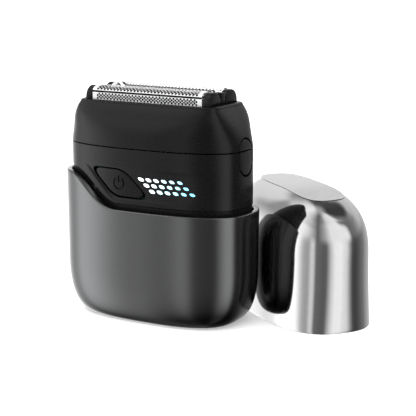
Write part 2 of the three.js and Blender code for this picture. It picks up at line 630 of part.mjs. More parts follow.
// Travel cap: a chrome shell with a black liner, standing turned on its own rim.
function dome(step) {
  return {
    x: (SHELL_X - CAP_DRAFT) * (1 - step ** DOME_POWER_X) ** (1 / DOME_POWER_X),
    y: (SHELL_Y - CAP_DRAFT) * (1 - step ** DOME_POWER_Y) ** (1 / DOME_POWER_Y),
    z: CAP_STRAIGHT + step * (CAP_APEX - CAP_STRAIGHT),
    power: 2.5 + 0.85 * step,
  };
}

// The inside is a little squarer than the dome and draws away from it towards the ceiling.
const mouthInset = CAP.wall + CAP.gap + CAP.liner;

function domeInside(step) {
  const { x, y, z, power } = dome(step);
  const inset = mouthInset * (1 + step ** 3);
  return { x: x - inset, y: y - inset, z, power: power + 0.3 * step };
}

const capMouth = { x: SHELL_X, y: SHELL_Y, z: 0, power: PLAN_POWER };
const linerMouth = { ...capMouth, x: SHELL_X - mouthInset, y: SHELL_Y - mouthInset };
const ceilingStep = (CAP_CEILING - CAP_STRAIGHT) / (CAP_APEX - CAP_STRAIGHT);
const capOutside = [capMouth, ...[0, 0.2, 0.38, 0.54, 0.68, 0.8, 0.9, 0.97].map(dome)];
const linerInside = [linerMouth, ...[0, 0.25, 0.45, 0.61, ceilingStep].map(domeInside)];

function grownInside(grow) {
  const lastIndex = linerInside.length - 1;
  const grown = linerInside.map((section, i) => ({
    ...section,
    x: section.x + grow,
    y: section.y + grow,
    z: i === lastIndex ? section.z + grow : section.z,
  }));
  return [onAxis(CAP_CEILING + grow), ...grown.reverse()];
}

const capWave = alongY(belowWave(), -2 * SHELL_Y, 2 * SHELL_Y);
const aboveTop = new THREE.Shape();
const scoopMiddle = (SCOOP_START + SCOOP_END) / 2;
aboveTop.moveTo(-2 * SHELL_X, CAP.height);
aboveTop.lineTo(SCOOP_START, CAP.height);
aboveTop.bezierCurveTo(scoopMiddle, CAP.height, scoopMiddle, CAP_DIP, SCOOP_END, CAP_DIP);
aboveTop.lineTo(2 * SHELL_X, CAP_DIP);
aboveTop.lineTo(2 * SHELL_X, 2 * CAP.height);
aboveTop.lineTo(-2 * SHELL_X, 2 * CAP.height);
const lastOutside = capOutside[capOutside.length - 1];
const capShell = loft([...grownInside(CAP.liner + CAP.gap), ...capOutside, onAxis(lastOutside.z)])
  .subtract(capWave)
  .subtract(alongY(aboveTop, -2 * SHELL_Y, 2 * SHELL_Y));
const linerTop = onAxis(CAP_CEILING + CAP.liner);
const linerOutside = grownInside(CAP.liner).slice(1).reverse();
const capLiner = loft([...grownInside(0), ...linerOutside, linerTop]).subtract(capWave);
const cap = new THREE.Group();
cap.position.set(CAP.x, CAP.y, 0);
cap.rotation.z = THREE.MathUtils.degToRad(CAP.turn);
place(cap, 'cap_shell', capShell, chrome);
place(cap, 'cap_liner', capLiner, blackPlastic);
shaver.add(cap);

export default shaver;
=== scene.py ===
# Looks of a palm-size foil shaver and its chrome travel cap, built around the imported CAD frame.
# Sizes in this script are in millimetres and become metres when a mesh is made.
import math

import bmesh
import bpy
import numpy as np
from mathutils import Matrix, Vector


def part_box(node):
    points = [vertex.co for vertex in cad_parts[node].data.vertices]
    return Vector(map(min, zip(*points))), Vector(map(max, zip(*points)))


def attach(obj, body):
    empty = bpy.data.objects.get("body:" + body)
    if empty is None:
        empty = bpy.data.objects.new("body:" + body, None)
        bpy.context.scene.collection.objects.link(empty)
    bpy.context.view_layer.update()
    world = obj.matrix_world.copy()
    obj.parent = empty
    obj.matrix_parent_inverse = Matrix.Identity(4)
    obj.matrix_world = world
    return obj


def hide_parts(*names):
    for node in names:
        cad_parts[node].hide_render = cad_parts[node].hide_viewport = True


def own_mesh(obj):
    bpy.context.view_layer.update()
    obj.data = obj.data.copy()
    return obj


MM = 0.001
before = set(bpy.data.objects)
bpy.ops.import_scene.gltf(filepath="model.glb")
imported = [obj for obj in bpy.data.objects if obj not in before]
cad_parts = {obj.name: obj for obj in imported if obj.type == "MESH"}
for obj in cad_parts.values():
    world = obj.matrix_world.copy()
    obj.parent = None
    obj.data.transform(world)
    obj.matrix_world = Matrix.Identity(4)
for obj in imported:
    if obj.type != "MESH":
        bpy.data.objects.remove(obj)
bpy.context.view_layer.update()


def box_mm(node):
    low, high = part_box(node)
    return np.array(low) / MM, np.array(high) / MM


# ---------------------------------------------------------------- driving sizes, from the frame
shell_high = box_mm("outer_shell")[1]
body_high = box_mm("inner_body")[1]
head_low = box_mm("head_frame")[0]
foil_low, foil_high = box_mm("foil_front")
carrier_low, carrier_high = box_mm("foil_carrier_front")

PLAN_POWER = 2.7
SHELL_X, SHELL_Y = shell_high[0], shell_high[1]
WAVE_Z = shell_high[2]
RIM_Z = 35.2
WAVE_LEFT, WAVE_RIGHT = -28.0, -6.5
WALL = 1.55
DRAFT = 0.15
ROUND_X, ROUND_Y, ROUND_Z = 9.2, 5.5, 18.4
ROUND_POWER_X, ROUND_POWER_Y = 2.5, 2.9
BODY_X, BODY_Y = body_high[0], body_high[1]
PARTING_Z = body_high[2]
HEAD_Z = head_low[2]
HEAD_TOP, HEAD_EDGE, HEAD_CEILING = 67.0, 0.7, 65.0
HEAD_IN_X, HEAD_IN_Y, HEAD_SQUARE = 5.4, 4.0, 5.3
NECK, LIP, BODY_WALL = 1.5, 0.12, 1.6

PANEL_LOW, PANEL_HIGH = 38.0, 47.9
PANEL_DEPTH, PANEL_MARGIN = 0.5, 1.9
PANEL_END, PANEL_FADE = 29.5, 20
BUTTON_X, BUTTON_Z = -6.5, 43.1
BUTTON_W, BUTTON_H, SLANT, SHARP_CORNER, WIDE_CORNER = 12.3, 8.1, -1.1, 4.8, 3.1
BUTTON_GAP = 0.42
RELEASE_W, RELEASE_LOW, RELEASE_TOP, RELEASE_GAP = 8.0, 46.2, 57.3, 0.3

FOIL_Y = 5.0
FOIL_HALF = (foil_high[1] - foil_low[1]) / 2
FOIL_LENGTH = foil_high[0] - foil_low[0]
FOIL_LOW, FOIL_CREST = foil_low[2], foil_high[2]
FOIL_SHOULDER = 69.4
CARRIER_X = carrier_high[0]
CARRIER_TOP = carrier_high[2]

CAP_X, CAP_Y, CAP_TURN = 33.2, 27.5, math.radians(-37.4)
CAP_HEIGHT = box_mm("cap_shell")[1][2]
CAP_STRAIGHT, CAP_DRAFT, CAP_DIP, CAP_APEX = 21.6, 0.25, 38.3, 41.7
SCOOP_START, SCOOP_END = 0.0, 31.0
DOME_POWER_X, DOME_POWER_Y = 2.65, 2.04
CAP_POWER, CAP_SQUARE = 2.5, 0.95
MOUTH_EDGE, FACET_EDGE, FACET_SINK, SKIN_WALL = 0.2, 0.32, 0.04, 0.7


# ---------------------------------------------------------------- mesh helpers
def make(name, verts, faces, materials, smooth=40.0):
    mesh = bpy.data.meshes.new(name)
    mesh.from_pydata((np.asarray(verts, float) * MM).tolist(), [], faces)
    mesh.validate()
    obj = bpy.data.objects.new(name, mesh)
    bpy.context.scene.collection.objects.link(obj)
    for material in materials if isinstance(materials, (list, tuple)) else [materials]:
        mesh.materials.append(material)
    soften(obj, smooth)
    return obj


def soften(obj, angle=40.0):
    mesh = obj.data
    bm = bmesh.new()
    bm.from_mesh(mesh)
    bmesh.ops.recalc_face_normals(bm, faces=bm.faces)
    bm.to_mesh(mesh)
    bm.free()
    mesh.polygons.foreach_set("use_smooth", [True] * len(mesh.polygons))
    mesh.set_sharp_from_angle(angle=math.radians(angle))


def strips(rings, first=0, loop=False):
    """Quads between consecutive closed rings of equal length, numbered from first."""
    count = len(rings[0])
    faces = []
    pairs = len(rings) if loop else len(rings) - 1
    for i in range(pairs):
        a, b = first + i * count, first + ((i + 1) % len(rings)) * count
        for j in range(count):
            k = (j + 1) % count
            faces.append((a + j, a + k, b + k, b + j))
    return faces


def capped(rings, bottom=True):
    """A surface from rings, closed by a fan at the last one and, if asked, at the first."""
    verts = np.concatenate(rings)
    faces = strips(rings)
    count = len(rings[0])
    if bottom:
        faces += fan(list(range(count))[::-1], len(verts))
        verts = np.vstack([verts, np.mean(rings[0], axis=0)])
    start = (len(rings) - 1) * count
    faces += fan(list(range(start, start + count)), len(verts))
    verts = np.vstack([verts, np.mean(rings[-1], axis=0)])
    return verts, faces


def fan(loop, middle):
    return [(loop[j], loop[(j + 1) % len(loop)], middle) for j in range(len(loop))]


def apply_modifiers(obj):
    depsgraph = bpy.context.evaluated_depsgraph_get()
    mesh = bpy.data.meshes.new_from_object(obj.evaluated_get(depsgraph))
    old = obj.data
    obj.modifiers.clear()
    obj.data = mesh
    bpy.data.meshes.remove(old)


def cut(obj, cutters):
    """Take the cutters away from obj, and delete them."""
    for cutter in cutters:
        modifier = obj.modifiers.new("cut", "BOOLEAN")
        modifier.object = cutter
        modifier.operation = "DIFFERENCE"
        modifier.solver = "EXACT"
    apply_modifiers(obj)
    for cutter in cutters:
        bpy.data.objects.remove(cutter)


def bevelled(obj, width, segments=3, angle=35.0):
    modifier = obj.modifiers.new("bevel", "BEVEL")
    modifier.width = width * MM
    modifier.segments = segments
    modifier.limit_method = "ANGLE"
    modifier.angle_limit = math.radians(angle)
    apply_modifiers(obj)
    soften(obj)
    return obj


def join(name, objects):
    for o in bpy.context.selected_objects:
        o.select_set(False)
    for o in objects:
        o.select_set(True)
    bpy.context.view_layer.objects.active = objects[0]
    if len(objects) > 1:
        bpy.ops.object.join()
    objects[0].name = name
    objects[0].data.name = name
    return objects[0]


def piece(obj, body, nodes):
    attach(obj, body)
    if nodes:
        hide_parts(*nodes)
    return obj


def block(name, low, high, material, bevel=0.2, segments=3):
    (x0, y0, z0), (x1, y1, z1) = low, high
    verts = [(x, y, z) for x in (x0, x1) for y in (y0, y1) for z in (z0, z1)]
    faces = [(0, 1, 3, 2), (4, 6, 7, 5), (0, 4, 5, 1), (2, 3, 7, 6), (0, 2, 6, 4), (1, 5, 7, 3)]
    obj = make(name, verts, faces, material)
    return bevelled(obj, bevel, segments) if bevel else obj


# ---------------------------------------------------------------- the body's plan and its surfaces
def equal_arc_angles(count):
    t = np.linspace(0, 2 * math.pi, 20001)
    x = SHELL_X * np.sign(np.cos(t)) * np.abs(np.cos(t)) ** (2 / PLAN_POWER)
    y = SHELL_Y * np.sign(np.sin(t)) * np.abs(np.sin(t)) ** (2 / PLAN_POWER)
    run = np.concatenate([[0], np.cumsum(np.hypot(np.diff(x), np.diff(y)))])
    even = np.interp(np.linspace(0, run[-1], count, endpoint=False), run, np.arange(len(t)))
    index = even.astype(int)
    return np.arctan2(y[index], x[index])


COLUMNS = 320
PHI = equal_arc_angles(COLUMNS)


def ring(half_x, half_y, z, power=PLAN_POWER):
    """A superellipse at height z, or at one height per column."""
    c, s = np.cos(PHI), np.sin(PHI)
    radius = ((np.abs(c) / half_x) ** power + (np.abs(s) / half_y) ** power) ** (-1 / power)
    return np.stack([radius * c, radius * s, np.broadcast_to(z, PHI.shape)], axis=1)


def bezier(p0, p1, p2, p3):
    t = np.linspace(0, 1, 400)[:, None]
    p0, p1, p2, p3 = (np.array(p, float) for p in (p0, p1, p2, p3))
    return (1 - t) ** 3 * p0 + 3 * t * (1 - t) ** 2 * p1 + 3 * t * t * (1 - t) * p2 + t ** 3 * p3


pull = (WAVE_RIGHT - WAVE_LEFT) * 0.42
wave_curve = bezier((WAVE_LEFT, WAVE_Z), (WAVE_LEFT + pull, WAVE_Z),
                    (WAVE_RIGHT - pull, RIM_Z), (WAVE_RIGHT, RIM_Z))


def wave(x):
    """Height of the shell's rim at x."""
    return np.interp(x, wave_curve[:, 0], wave_curve[:, 1])


def ease(value):
    value = np.clip(value, 0, 1)
    return value * value * (3 - 2 * value)


def panel_depth(x, z):
    """How deep the display field is scooped into the body's front at (x, z)."""
    across = np.clip((z - PANEL_LOW) / (PANEL_HIGH - PANEL_LOW), 0, 1)
    hollow = 1 - np.abs(2 * across - 1) ** 3.2
    left_edge = BUTTON_X - BUTTON_W / 2 - PANEL_MARGIN + SLANT * (z - BUTTON_Z)
    start = ease((x - left_edge) / 1.5)
    fade = ease((PANEL_END - x) / PANEL_FADE)
    return PANEL_DEPTH * hollow * start * fade


def body_front(x, z):
    """The body's front surface at (x, z)."""
    x, z = np.asarray(x, float), np.asarray(z, float)
    y = -BODY_Y * np.maximum(0, 1 - np.abs(x / BODY_X) ** PLAN_POWER) ** (1 / PLAN_POWER)
    return y + panel_depth(x, z)


def head_half(z):
    """Half width, half depth and squareness of the head at z."""
    h = np.clip((z - HEAD_Z) / (HEAD_TOP - HEAD_EDGE - HEAD_Z), 0, 1)
    return BODY_X - HEAD_IN_X * h ** 1.6, BODY_Y - HEAD_IN_Y * h ** 2.7, PLAN_POWER + HEAD_SQUARE * h ** 3


def side_x(y, z):
    """Half width of the black body or the head at (y, z)."""
    half_x, half_y, power = head_half(max(z, HEAD_Z))
    return half_x * max(0.0, 1 - abs(y / half_y) ** power) ** (1 / power)


# ---------------------------------------------------------------- materials
def new_material(name):
    material = bpy.data.materials.new(name)
    material.use_nodes = True
    nodes, links = material.node_tree.nodes, material.node_tree.links
    return material, nodes, links, nodes["Principled BSDF"]


def object_noise(nodes, links, scale, stretch=(1, 1, 1)):
    coords = nodes.new("ShaderNodeTexCoord")
    mapping = nodes.new("ShaderNodeMapping")
    mapping.inputs["Scale"].default_value = stretch
    noise = nodes.new("ShaderNodeTexNoise")
    noise.inputs["Scale"].default_value = scale
    noise.inputs["Detail"].default_value = 3.0
    links.new(coords.outputs["Object"], mapping.inputs["Vector"])
    links.new(mapping.outputs["Vector"], noise.inputs["Vector"])
    return noise


def spread(nodes, links, source, low, high, target):
    span = nodes.new("ShaderNodeMapRange")
    span.inputs["To Min"].default_value = low
    span.inputs["To Max"].default_value = high
    links.new(source, span.inputs["Value"])
    links.new(span.outputs["Result"], target)


def tint(nodes, links, source, dark, light, target):
    ramp = nodes.new("ShaderNodeValToRGB")
    ramp.color_ramp.elements[0].position = 0.3
    ramp.color_ramp.elements[1].position = 0.7
    ramp.color_ramp.elements[0].color = (*dark, 1)
    ramp.color_ramp.elements[1].color = (*light, 1)
    links.new(source, ramp.inputs["Fac"])
    links.new(ramp.outputs["Color"], target)


def bump(nodes, links, source, bsdf, strength, distance):
    node = nodes.new("ShaderNodeBump")
    node.inputs["Strength"].default_value = strength
    node.inputs["Distance"].default_value = distance * MM
    links.new(source, node.inputs["Height"])
    links.new(node.outputs["Normal"], bsdf.inputs["Normal"])


def surface(name, dark, light, roughness, metallic=0.0, grain=900.0, stretch=(1, 1, 1), relief=0.02,
            strength=0.15, specular=0.5):
    """A moulded, painted or metal surface: colour, gloss and fine relief all vary with one grain."""
    material, nodes, links, bsdf = new_material(name)
    noise = object_noise(nodes, links, grain, stretch=stretch)
    tint(nodes, links, noise.outputs["Fac"], dark, light, bsdf.inputs["Base Color"])
    spread(nodes, links, noise.outputs["Fac"], roughness * 0.85, roughness * 1.15, bsdf.inputs["Roughness"])
    bump(nodes, links, noise.outputs["Fac"], bsdf, strength, relief)
    bsdf.inputs["Metallic"].default_value = metallic
    bsdf.inputs["Specular IOR Level"].default_value = specular
    return material


gunmetal = surface("gunmetal", (0.2, 0.202, 0.205), (0.215, 0.217, 0.22), 0.2, metallic=1.0, grain=2600,
                   relief=0.003, strength=0.08)
matte_black = surface("matte_black", (0.0015, 0.0015, 0.0016), (0.0025, 0.0025, 0.0027), 0.27, grain=3200,
                      relief=0.004, strength=0.05, specular=0.42)
head_black = surface("head_black", (0.0015, 0.0015, 0.0016), (0.0025, 0.0025, 0.0027), 0.27, grain=3200,
                     relief=0.004, strength=0.05, specular=0.36)
gloss_black = surface("gloss_black", (0.0015, 0.0015, 0.0016), (0.0025, 0.0025, 0.0027), 0.2, grain=1500,
                      relief=0.003, strength=0.05, specular=0.36)
chrome = surface("chrome", (0.88, 0.88, 0.885), (0.91, 0.91, 0.915), 0.085, metallic=1.0, grain=700,
                 relief=0.001, strength=0.03)
satin_chrome = surface("satin_chrome", (0.42, 0.42, 0.425), (0.49, 0.49, 0.495), 0.3, metallic=0.6,
                       grain=1400, stretch=(1, 0.06, 1), relief=0.01, strength=0.2)
steel = surface("steel", (0.5, 0.51, 0.53), (0.62, 0.63, 0.65), 0.28, metallic=1.0, grain=1200,
                stretch=(0.1, 1, 1), relief=0.006, strength=0.15)
# Near-black steel for the inner cutters: the blades are steel, and their near-black colour is painted shade
# under the foil.
blade_steel_painted_shade = surface("blade_steel_painted_shade", (0.03, 0.03, 0.031), (0.045, 0.045, 0.047), 0.5, metallic=1.0,
                     grain=1200, stretch=(0.1, 1, 1), relief=0.006, strength=0.15)
# The foil sheet's inner face: near-black as painted shade under the foil, where the real sheet is steel.
foil_inside_painted_shade = surface("foil_inside_painted_shade", (0.002, 0.002, 0.002), (0.004, 0.004, 0.004), 0.6, grain=1200,
                      specular=0.2)
foil_steel = surface("foil_steel", (0.86, 0.865, 0.87), (0.92, 0.925, 0.93), 0.25, metallic=0.6,
                     grain=1600, stretch=(0.08, 1, 1), relief=0.004, strength=0.12)
grey_plastic = surface("grey_plastic", (0.13, 0.134, 0.138), (0.16, 0.164, 0.168), 0.5, grain=2600)
acetal = surface("acetal", (0.62, 0.63, 0.63), (0.7, 0.7, 0.69), 0.45, grain=2200)
rubber = surface("rubber", (0.014, 0.014, 0.014), (0.02, 0.02, 0.02), 0.75, grain=3000, relief=0.02,
                 strength=0.3)
liner_black = surface("liner_black", (0.012, 0.012, 0.012), (0.018, 0.018, 0.018), 0.55, grain=2600,
                      relief=0.02)
board_green = surface("board_green", (0.012, 0.08, 0.04), (0.02, 0.12, 0.06), 0.35, grain=1400)
cell_blue = surface("cell_blue", (0.02, 0.08, 0.25), (0.03, 0.11, 0.33), 0.3, grain=900)
nickel = surface("nickel", (0.5, 0.48, 0.42), (0.62, 0.6, 0.52), 0.35, metallic=1.0, grain=1400)


def light_material():
    """Clear lit plastic: white at the button's end, cyan at the far end."""
    material, nodes, links, bsdf = new_material("status_glow")
    coords = nodes.new("ShaderNodeTexCoord")
    split = nodes.new("ShaderNodeSeparateXYZ")
    links.new(coords.outputs["Object"], split.inputs["Vector"])
    span = nodes.new("ShaderNodeMapRange")
    span.inputs["From Min"].default_value = 3 * MM
    span.inputs["From Max"].default_value = 17 * MM
    links.new(split.outputs["X"], span.inputs["Value"])
    ramp = nodes.new("ShaderNodeValToRGB")
    elements = ramp.color_ramp.elements
    elements[0].color = (0.93, 0.98, 1.0, 1)
    elements[1].color = (0.2, 0.62, 0.9, 1)
    middle = elements.new(0.45)
    middle.color = (0.55, 0.9, 0.97, 1)
    links.new(span.outputs["Result"], ramp.inputs["Fac"])
    links.new(ramp.outputs["Color"], bsdf.inputs["Base Color"])
    links.new(ramp.outputs["Color"], bsdf.inputs["Emission Color"])
    bsdf.inputs["Emission Strength"].default_value = 0.75
    bsdf.inputs["Roughness"].default_value = 0.2
    return material


status_glow = light_material()


# ---------------------------------------------------------------- outer shell
def round_inset(k):
    inset_x = ROUND_X * (1 - (1 - k ** ROUND_POWER_X) ** (1 / ROUND_POWER_X))
    inset_y = ROUND_Y * (1 - (1 - k ** ROUND_POWER_Y) ** (1 / ROUND_POWER_Y))
    return inset_x, inset_y


def base_rings(half_x, half_y, floor, steps):
    """Rings from the flat patch under the body up to the top of its rounding."""
    rings = []
    for part in (0.3, 0.6, 0.9):
        rings.append(ring((half_x - ROUND_X) * part, (half_y - ROUND_Y) * part, floor))
    for step in np.linspace(0, 1, steps) ** 2.6:
        inset_x, inset_y = round_inset(1 - step)
        rings.append(ring(half_x - inset_x, half_y - inset_y, floor + step * (ROUND_Z - floor)))
    return rings


def build_shell():
    rings = base_rings(SHELL_X - DRAFT, SHELL_Y - DRAFT, 0.0, 44)
    rim = wave(ring(SHELL_X, SHELL_Y, 0)[:, 0])
    fillet = 0.35
    for part in np.linspace(0, 1, 22)[1:]:
        z = ROUND_Z + (rim - fillet - ROUND_Z) * part
        grow = DRAFT * part ** 2
        rings.append(ring(SHELL_X - DRAFT + grow, SHELL_Y - DRAFT + grow, z))
    for side, sign in ((0.0, 1), (WALL, -1)):
        for turn in np.linspace(0, math.pi / 2, 6)[1:] if sign > 0 else np.linspace(math.pi / 2, 0, 6):
            inset = side + sign * fillet * (1 - math.cos(turn))
            rings.append(ring(SHELL_X - inset, SHELL_Y - inset, rim - fillet * (1 - math.sin(turn))))
    inner_x, inner_y = SHELL_X - WALL, SHELL_Y - WALL
    for part in (0.75, 0.4, 0.0):
        rings.append(ring(inner_x, inner_y, ROUND_Z + (rim - fillet - ROUND_Z) * part))
    rings += base_rings(inner_x, inner_y, 2.2, 14)[::-1][1:]
    verts, faces = capped(rings)
    return make("shell_skin", verts, faces, gunmetal)


def stadium_prism(name, width, height, x, z, y0, y1, material):
    """A slot-shaped prism along Y."""
    outline = []
    sides = 24
    reach = (width - height) / 2
    for j in range(2 * sides):
        angle = -math.pi / 2 + math.pi * (j % sides) / (sides - 1) + (math.pi if j >= sides else 0)
        centre = x + (reach if j < sides else -reach)
        outline.append((centre + height / 2 * math.cos(angle), z + height / 2 * math.sin(angle)))
    rings = [np.array([(u, y, v) for u, v in outline]) for y in (y0, y1)]
    verts, faces = capped(rings)
    return make(name, verts, faces, material)


socket_low, socket_high = box_mm("usb_c_socket")
PORT_Z = (socket_low[2] + socket_high[2]) / 2
PORT_W = socket_high[0] - socket_low[0]
PORT_H = socket_high[2] - socket_low[2]

shell = build_shell()
cut(shell, [stadium_prism("cut", PORT_W + 1.5, PORT_H + 1.5, 0, PORT_Z, SHELL_Y - 4, SHELL_Y + 4, gunmetal)])
soften(shell, 35)
piece(shell, "shaver_body", ["outer_shell"])


def build_port_frame():
    """A black plastic frame that lines the charging port's opening."""
    outer = stadium_prism("port_frame", PORT_W + 1.4, PORT_H + 1.4, 0, PORT_Z, BODY_Y - 1.4, SHELL_Y - 0.25,
                          matte_black)
    cut(outer, [stadium_prism("cut", PORT_W + 0.3, PORT_H + 0.3, 0, PORT_Z, 0, SHELL_Y + 5, matte_black)])
    return bevelled(outer, 0.12, 2)


piece(build_port_frame(), "shaver_body", [])


# ---------------------------------------------------------------- black inner body
def build_body():
    """The visible band above the rim: a step follows the wave, then the front carries the display field."""
    rim = wave(ring(SHELL_X, SHELL_Y, 0)[:, 0])
    tuck, step, settled = 9, 0.2, 0.25
    rows = [(rim - tuck, step), (rim - 0.5, step), (rim + NECK - 0.16, step), (rim + NECK - 0.05, 0.16),
            (rim + NECK, 0.1), (rim + NECK + 0.1, 0.02), (rim + NECK + settled, 0)]
    for part in np.linspace(0, 1, 74)[1:]:
        rows.append((rim + NECK + settled + (PARTING_Z - LIP - rim - NECK - settled) * part, 0))
    for turn in np.linspace(0, math.pi / 2, 5)[1:]:
        rows.append((PARTING_Z - LIP * (1 - math.sin(turn)), LIP * (1 - math.cos(turn))))
    rings = []
    for z, inset in rows:
        points = ring(BODY_X - inset, BODY_Y - inset, z)
        front = points[:, 1] < 0
        points[front, 1] += panel_depth(points[front, 0], points[front, 2])
        rings.append(points)
    for z in (PARTING_Z, PARTING_Z - 8, rim - tuck):
        rings.append(ring(BODY_X - BODY_WALL, BODY_Y - BODY_WALL, z))
    verts = np.concatenate(rings)
    return make("body_housing", verts, strips(rings, loop=True), matte_black)


def button_outline(grow):
    """The power button's rounded parallelogram in (x, z), grown by grow."""
    half_h = BUTTON_H / 2 + grow
    half_w = BUTTON_W / 2 + grow * math.hypot(1, SLANT)
    corners = [(BUTTON_X + a * half_w + SLANT * b * half_h, BUTTON_Z + b * half_h)
               for a, b in ((-1, -1), (1, -1), (1, 1), (-1, 1))]
    corners = [np.array(corner) for corner in corners]
    points = []
    for i, corner in enumerate(corners):
        before, after = corners[i - 1], corners[(i + 1) % 4]
        reach = SHARP_CORNER if i % 2 else WIDE_CORNER
        enter = corner + (before - corner) * reach / np.linalg.norm(before - corner)
        leave = corner + (after - corner) * reach / np.linalg.norm(after - corner)
        for t in np.linspace(0, 1, 10):
            points.append((1 - t) ** 2 * enter + 2 * t * (1 - t) * corner + t * t * leave)
    points = np.array(points)
    closed = np.vstack([points, points[:1]])
    run = np.concatenate([[0], np.cumsum(np.linalg.norm(np.diff(closed, axis=0), axis=1))])
    even = np.linspace(0, run[-1], 96, endpoint=False)
    return np.stack([np.interp(even, run, closed[:, i]) for i in (0, 1)], axis=1)


def capsule_outline(grow, flat_top=None, flat_low=None):
    """The release opening's capsule in (y, z), optionally cut off flat at its top or bottom."""
    half = RELEASE_W / 2
    radius = half + grow
    t = np.linspace(0, math.pi, 40)
    top = [(radius * math.cos(a), RELEASE_TOP - half + radius * math.sin(a)) for a in t]
    bottom = [(radius * math.cos(a), RELEASE_LOW + half + radius * math.sin(a)) for a in t + math.pi]
    points = top + bottom
    if flat_top is not None:
        points = [(radius, flat_top), (-radius, flat_top)] + bottom
    if flat_low is not None:
        points = [point for point in top if point[1] > flat_low] + [(-radius, flat_low), (radius, flat_low)]
    return np.array(points)


def prism(name, outline, place, near, far, material):
    """A prism over a 2-D outline: place(u, v, depth) gives the 3-D point."""
    rings = [np.array([place(u, v, depth) for u, v in outline]) for depth in (near, far)]
    verts, faces = capped(rings)
    return make(name, verts, faces, material)


def along_y(u, v, depth):
    return (u, depth, v)


def along_x(u, v, depth):
    return (depth, u, v)



def capsule_cutters():
    """Cutters for the release openings at both ends."""
    outline = capsule_outline(RELEASE_GAP)
    return [prism("cut", outline, along_x, a, b, matte_black) for a, b in ((26.2, 33), (-33, -26.2))]


body = build_body()
cut(body, [prism("cut", button_outline(BUTTON_GAP), along_y, -20, -10, matte_black)] + capsule_cutters())
soften(body, 32)
piece(body, "shaver_body", ["inner_body"])


# ---------------------------------------------------------------- pads that follow a surface
def pad(name, outline, surface_point, depth, material, edge=0.3, crown=0.0, sink=0.0):
    """A button-like solid whose face follows surface_point(u, v, inward), with a rounded edge."""
    middle = outline.mean(axis=0)
    reach = np.linalg.norm(outline - middle, axis=1)
    rings = []
    for part in (0.12, 0.3, 0.48, 0.64, 0.78, 0.89, 0.95):
        flat = middle + (outline - middle) * part * (1 - edge / reach)[:, None]
        rise = crown * (1 - part ** 2)
        rings.append([surface_point(u, v, sink - rise) for u, v in flat])
    for turn in np.linspace(0, math.pi / 2, 6):
        inset = edge * (1 - math.sin(turn))
        flat = middle + (outline - middle) * (1 - inset / reach)[:, None]
        rings.append([surface_point(u, v, sink + edge * (1 - math.cos(turn))) for u, v in flat])
    rings.append([surface_point(u, v, depth) for u, v in outline])
    rings = [np.array(r) for r in rings]
    verts, faces = capped(rings)
    return make(name, verts, faces, material, 50)


def front_point(u, v, inward):
    return (u, float(body_front(u, v)) + inward, v)


def power_symbol():
    """Cutters for a generic power symbol: an open ring and a bar."""
    radius, width, gap = 1.75, 0.42, math.radians(36)
    angles = np.linspace(math.pi / 2 + gap, math.pi / 2 + 2 * math.pi - gap, 40)
    outer = [(radius + width / 2) * np.array((math.cos(a), math.sin(a))) for a in angles]
    inner = [(radius - width / 2) * np.array((math.cos(a), math.sin(a))) for a in angles[::-1]]
    centre = np.array((BUTTON_X, BUTTON_Z - 0.15))
    arc = np.array(outer + inner) + centre
    bar = np.array([(-width / 2, 0.3), (width / 2, 0.3), (width / 2, 2.35), (-width / 2, 2.35)]) + centre
    surface_y = float(body_front(BUTTON_X, BUTTON_Z))
    floor = surface_y + 0.4
    shapes = []
    count = len(angles)
    rings = [np.array([(u, y, v) for u, v in arc]) for y in (surface_y - 2, floor)]
    verts = np.concatenate(rings)
    faces = strips(rings)
    for first in (0, 2 * count):
        for j in range(count - 1):
            faces.append((first + j, first + j + 1, first + 2 * count - 2 - j, first + 2 * count - 1 - j))
    shapes.append(make("cut", verts, faces, gloss_black))
    shapes.append(prism("cut", bar, along_y, surface_y - 2, floor, gloss_black))
    return shapes


button = pad("power_button_face", button_outline(0), front_point, 2.2, gloss_black, edge=0.35, crown=0.05,
             sink=0.05)
cut(button, power_symbol())
soften(button, 40)
piece(button, "power_button", ["power_button"])


# ---------------------------------------------------------------- status lights
LIGHT_ROWS, LIGHT_COLUMNS = 3, 6
LIGHT_X, LIGHT_Z, PITCH, DROP, SHIFT = 1.5, 44.8, 2.6, 1.68, 1.9
LIGHT_HALF_W, LIGHT_HALF_H, LIGHT_LEAN, LIGHT_POWER = 0.9, 0.56, 0.7, 2.8


def build_lights():
    verts, faces = [], []
    sides = 28
    for row in range(LIGHT_ROWS):
        for column in range(LIGHT_COLUMNS):
            x = LIGHT_X + column * PITCH + row * SHIFT
            z = LIGHT_Z - row * DROP
            size = 1.0 - 0.035 * column
            angle = np.linspace(0, 2 * math.pi, sides, endpoint=False)
            c, s = np.cos(angle), np.sin(angle)
            square = (np.abs(c) ** LIGHT_POWER + np.abs(s) ** LIGHT_POWER) ** (-1 / LIGHT_POWER)
            rise = LIGHT_HALF_H * size * s * square
            across = LIGHT_HALF_W * size * c * square - LIGHT_LEAN * rise
            rings = []
            for part, out in ((0.35, 0.09), (0.7, 0.07), (0.92, 0.03), (1.0, -0.03), (1.0, -0.35)):
                u, v = x + across * part, z + rise * part
                rings.append(np.stack([u, body_front(u, v) - out, v], axis=1))
            part_verts, part_faces = capped(rings)
            start = len(verts)
            verts += part_verts.tolist()
            faces += [tuple(start + i for i in face) for face in part_faces]
    return make("status_lights", verts, faces, status_glow, 60)


piece(build_lights(), "shaver_body", ["led_light_guide"])


# ---------------------------------------------------------------- head frame
def rounded_rectangle(half_x, half_y, radius, phi):
    """Points of a rounded rectangle in the directions phi."""
    c, s = np.abs(np.cos(phi)), np.abs(np.sin(phi))
    points = []
    for cc, ss, angle in zip(c, s, phi):
        r = min(half_x / max(cc, 1e-9), half_y / max(ss, 1e-9))
        x, y = r * cc, r * ss
        if x > half_x - radius and y > half_y - radius:
            ox, oy = half_x - radius, half_y - radius
            b = cc * ox + ss * oy
            r = b + math.sqrt(max(0, b * b - (ox * ox + oy * oy - radius * radius)))
            x, y = r * cc, r * ss
        points.append((math.copysign(x, math.cos(angle)), math.copysign(y, math.sin(angle))))
    return np.array(points)


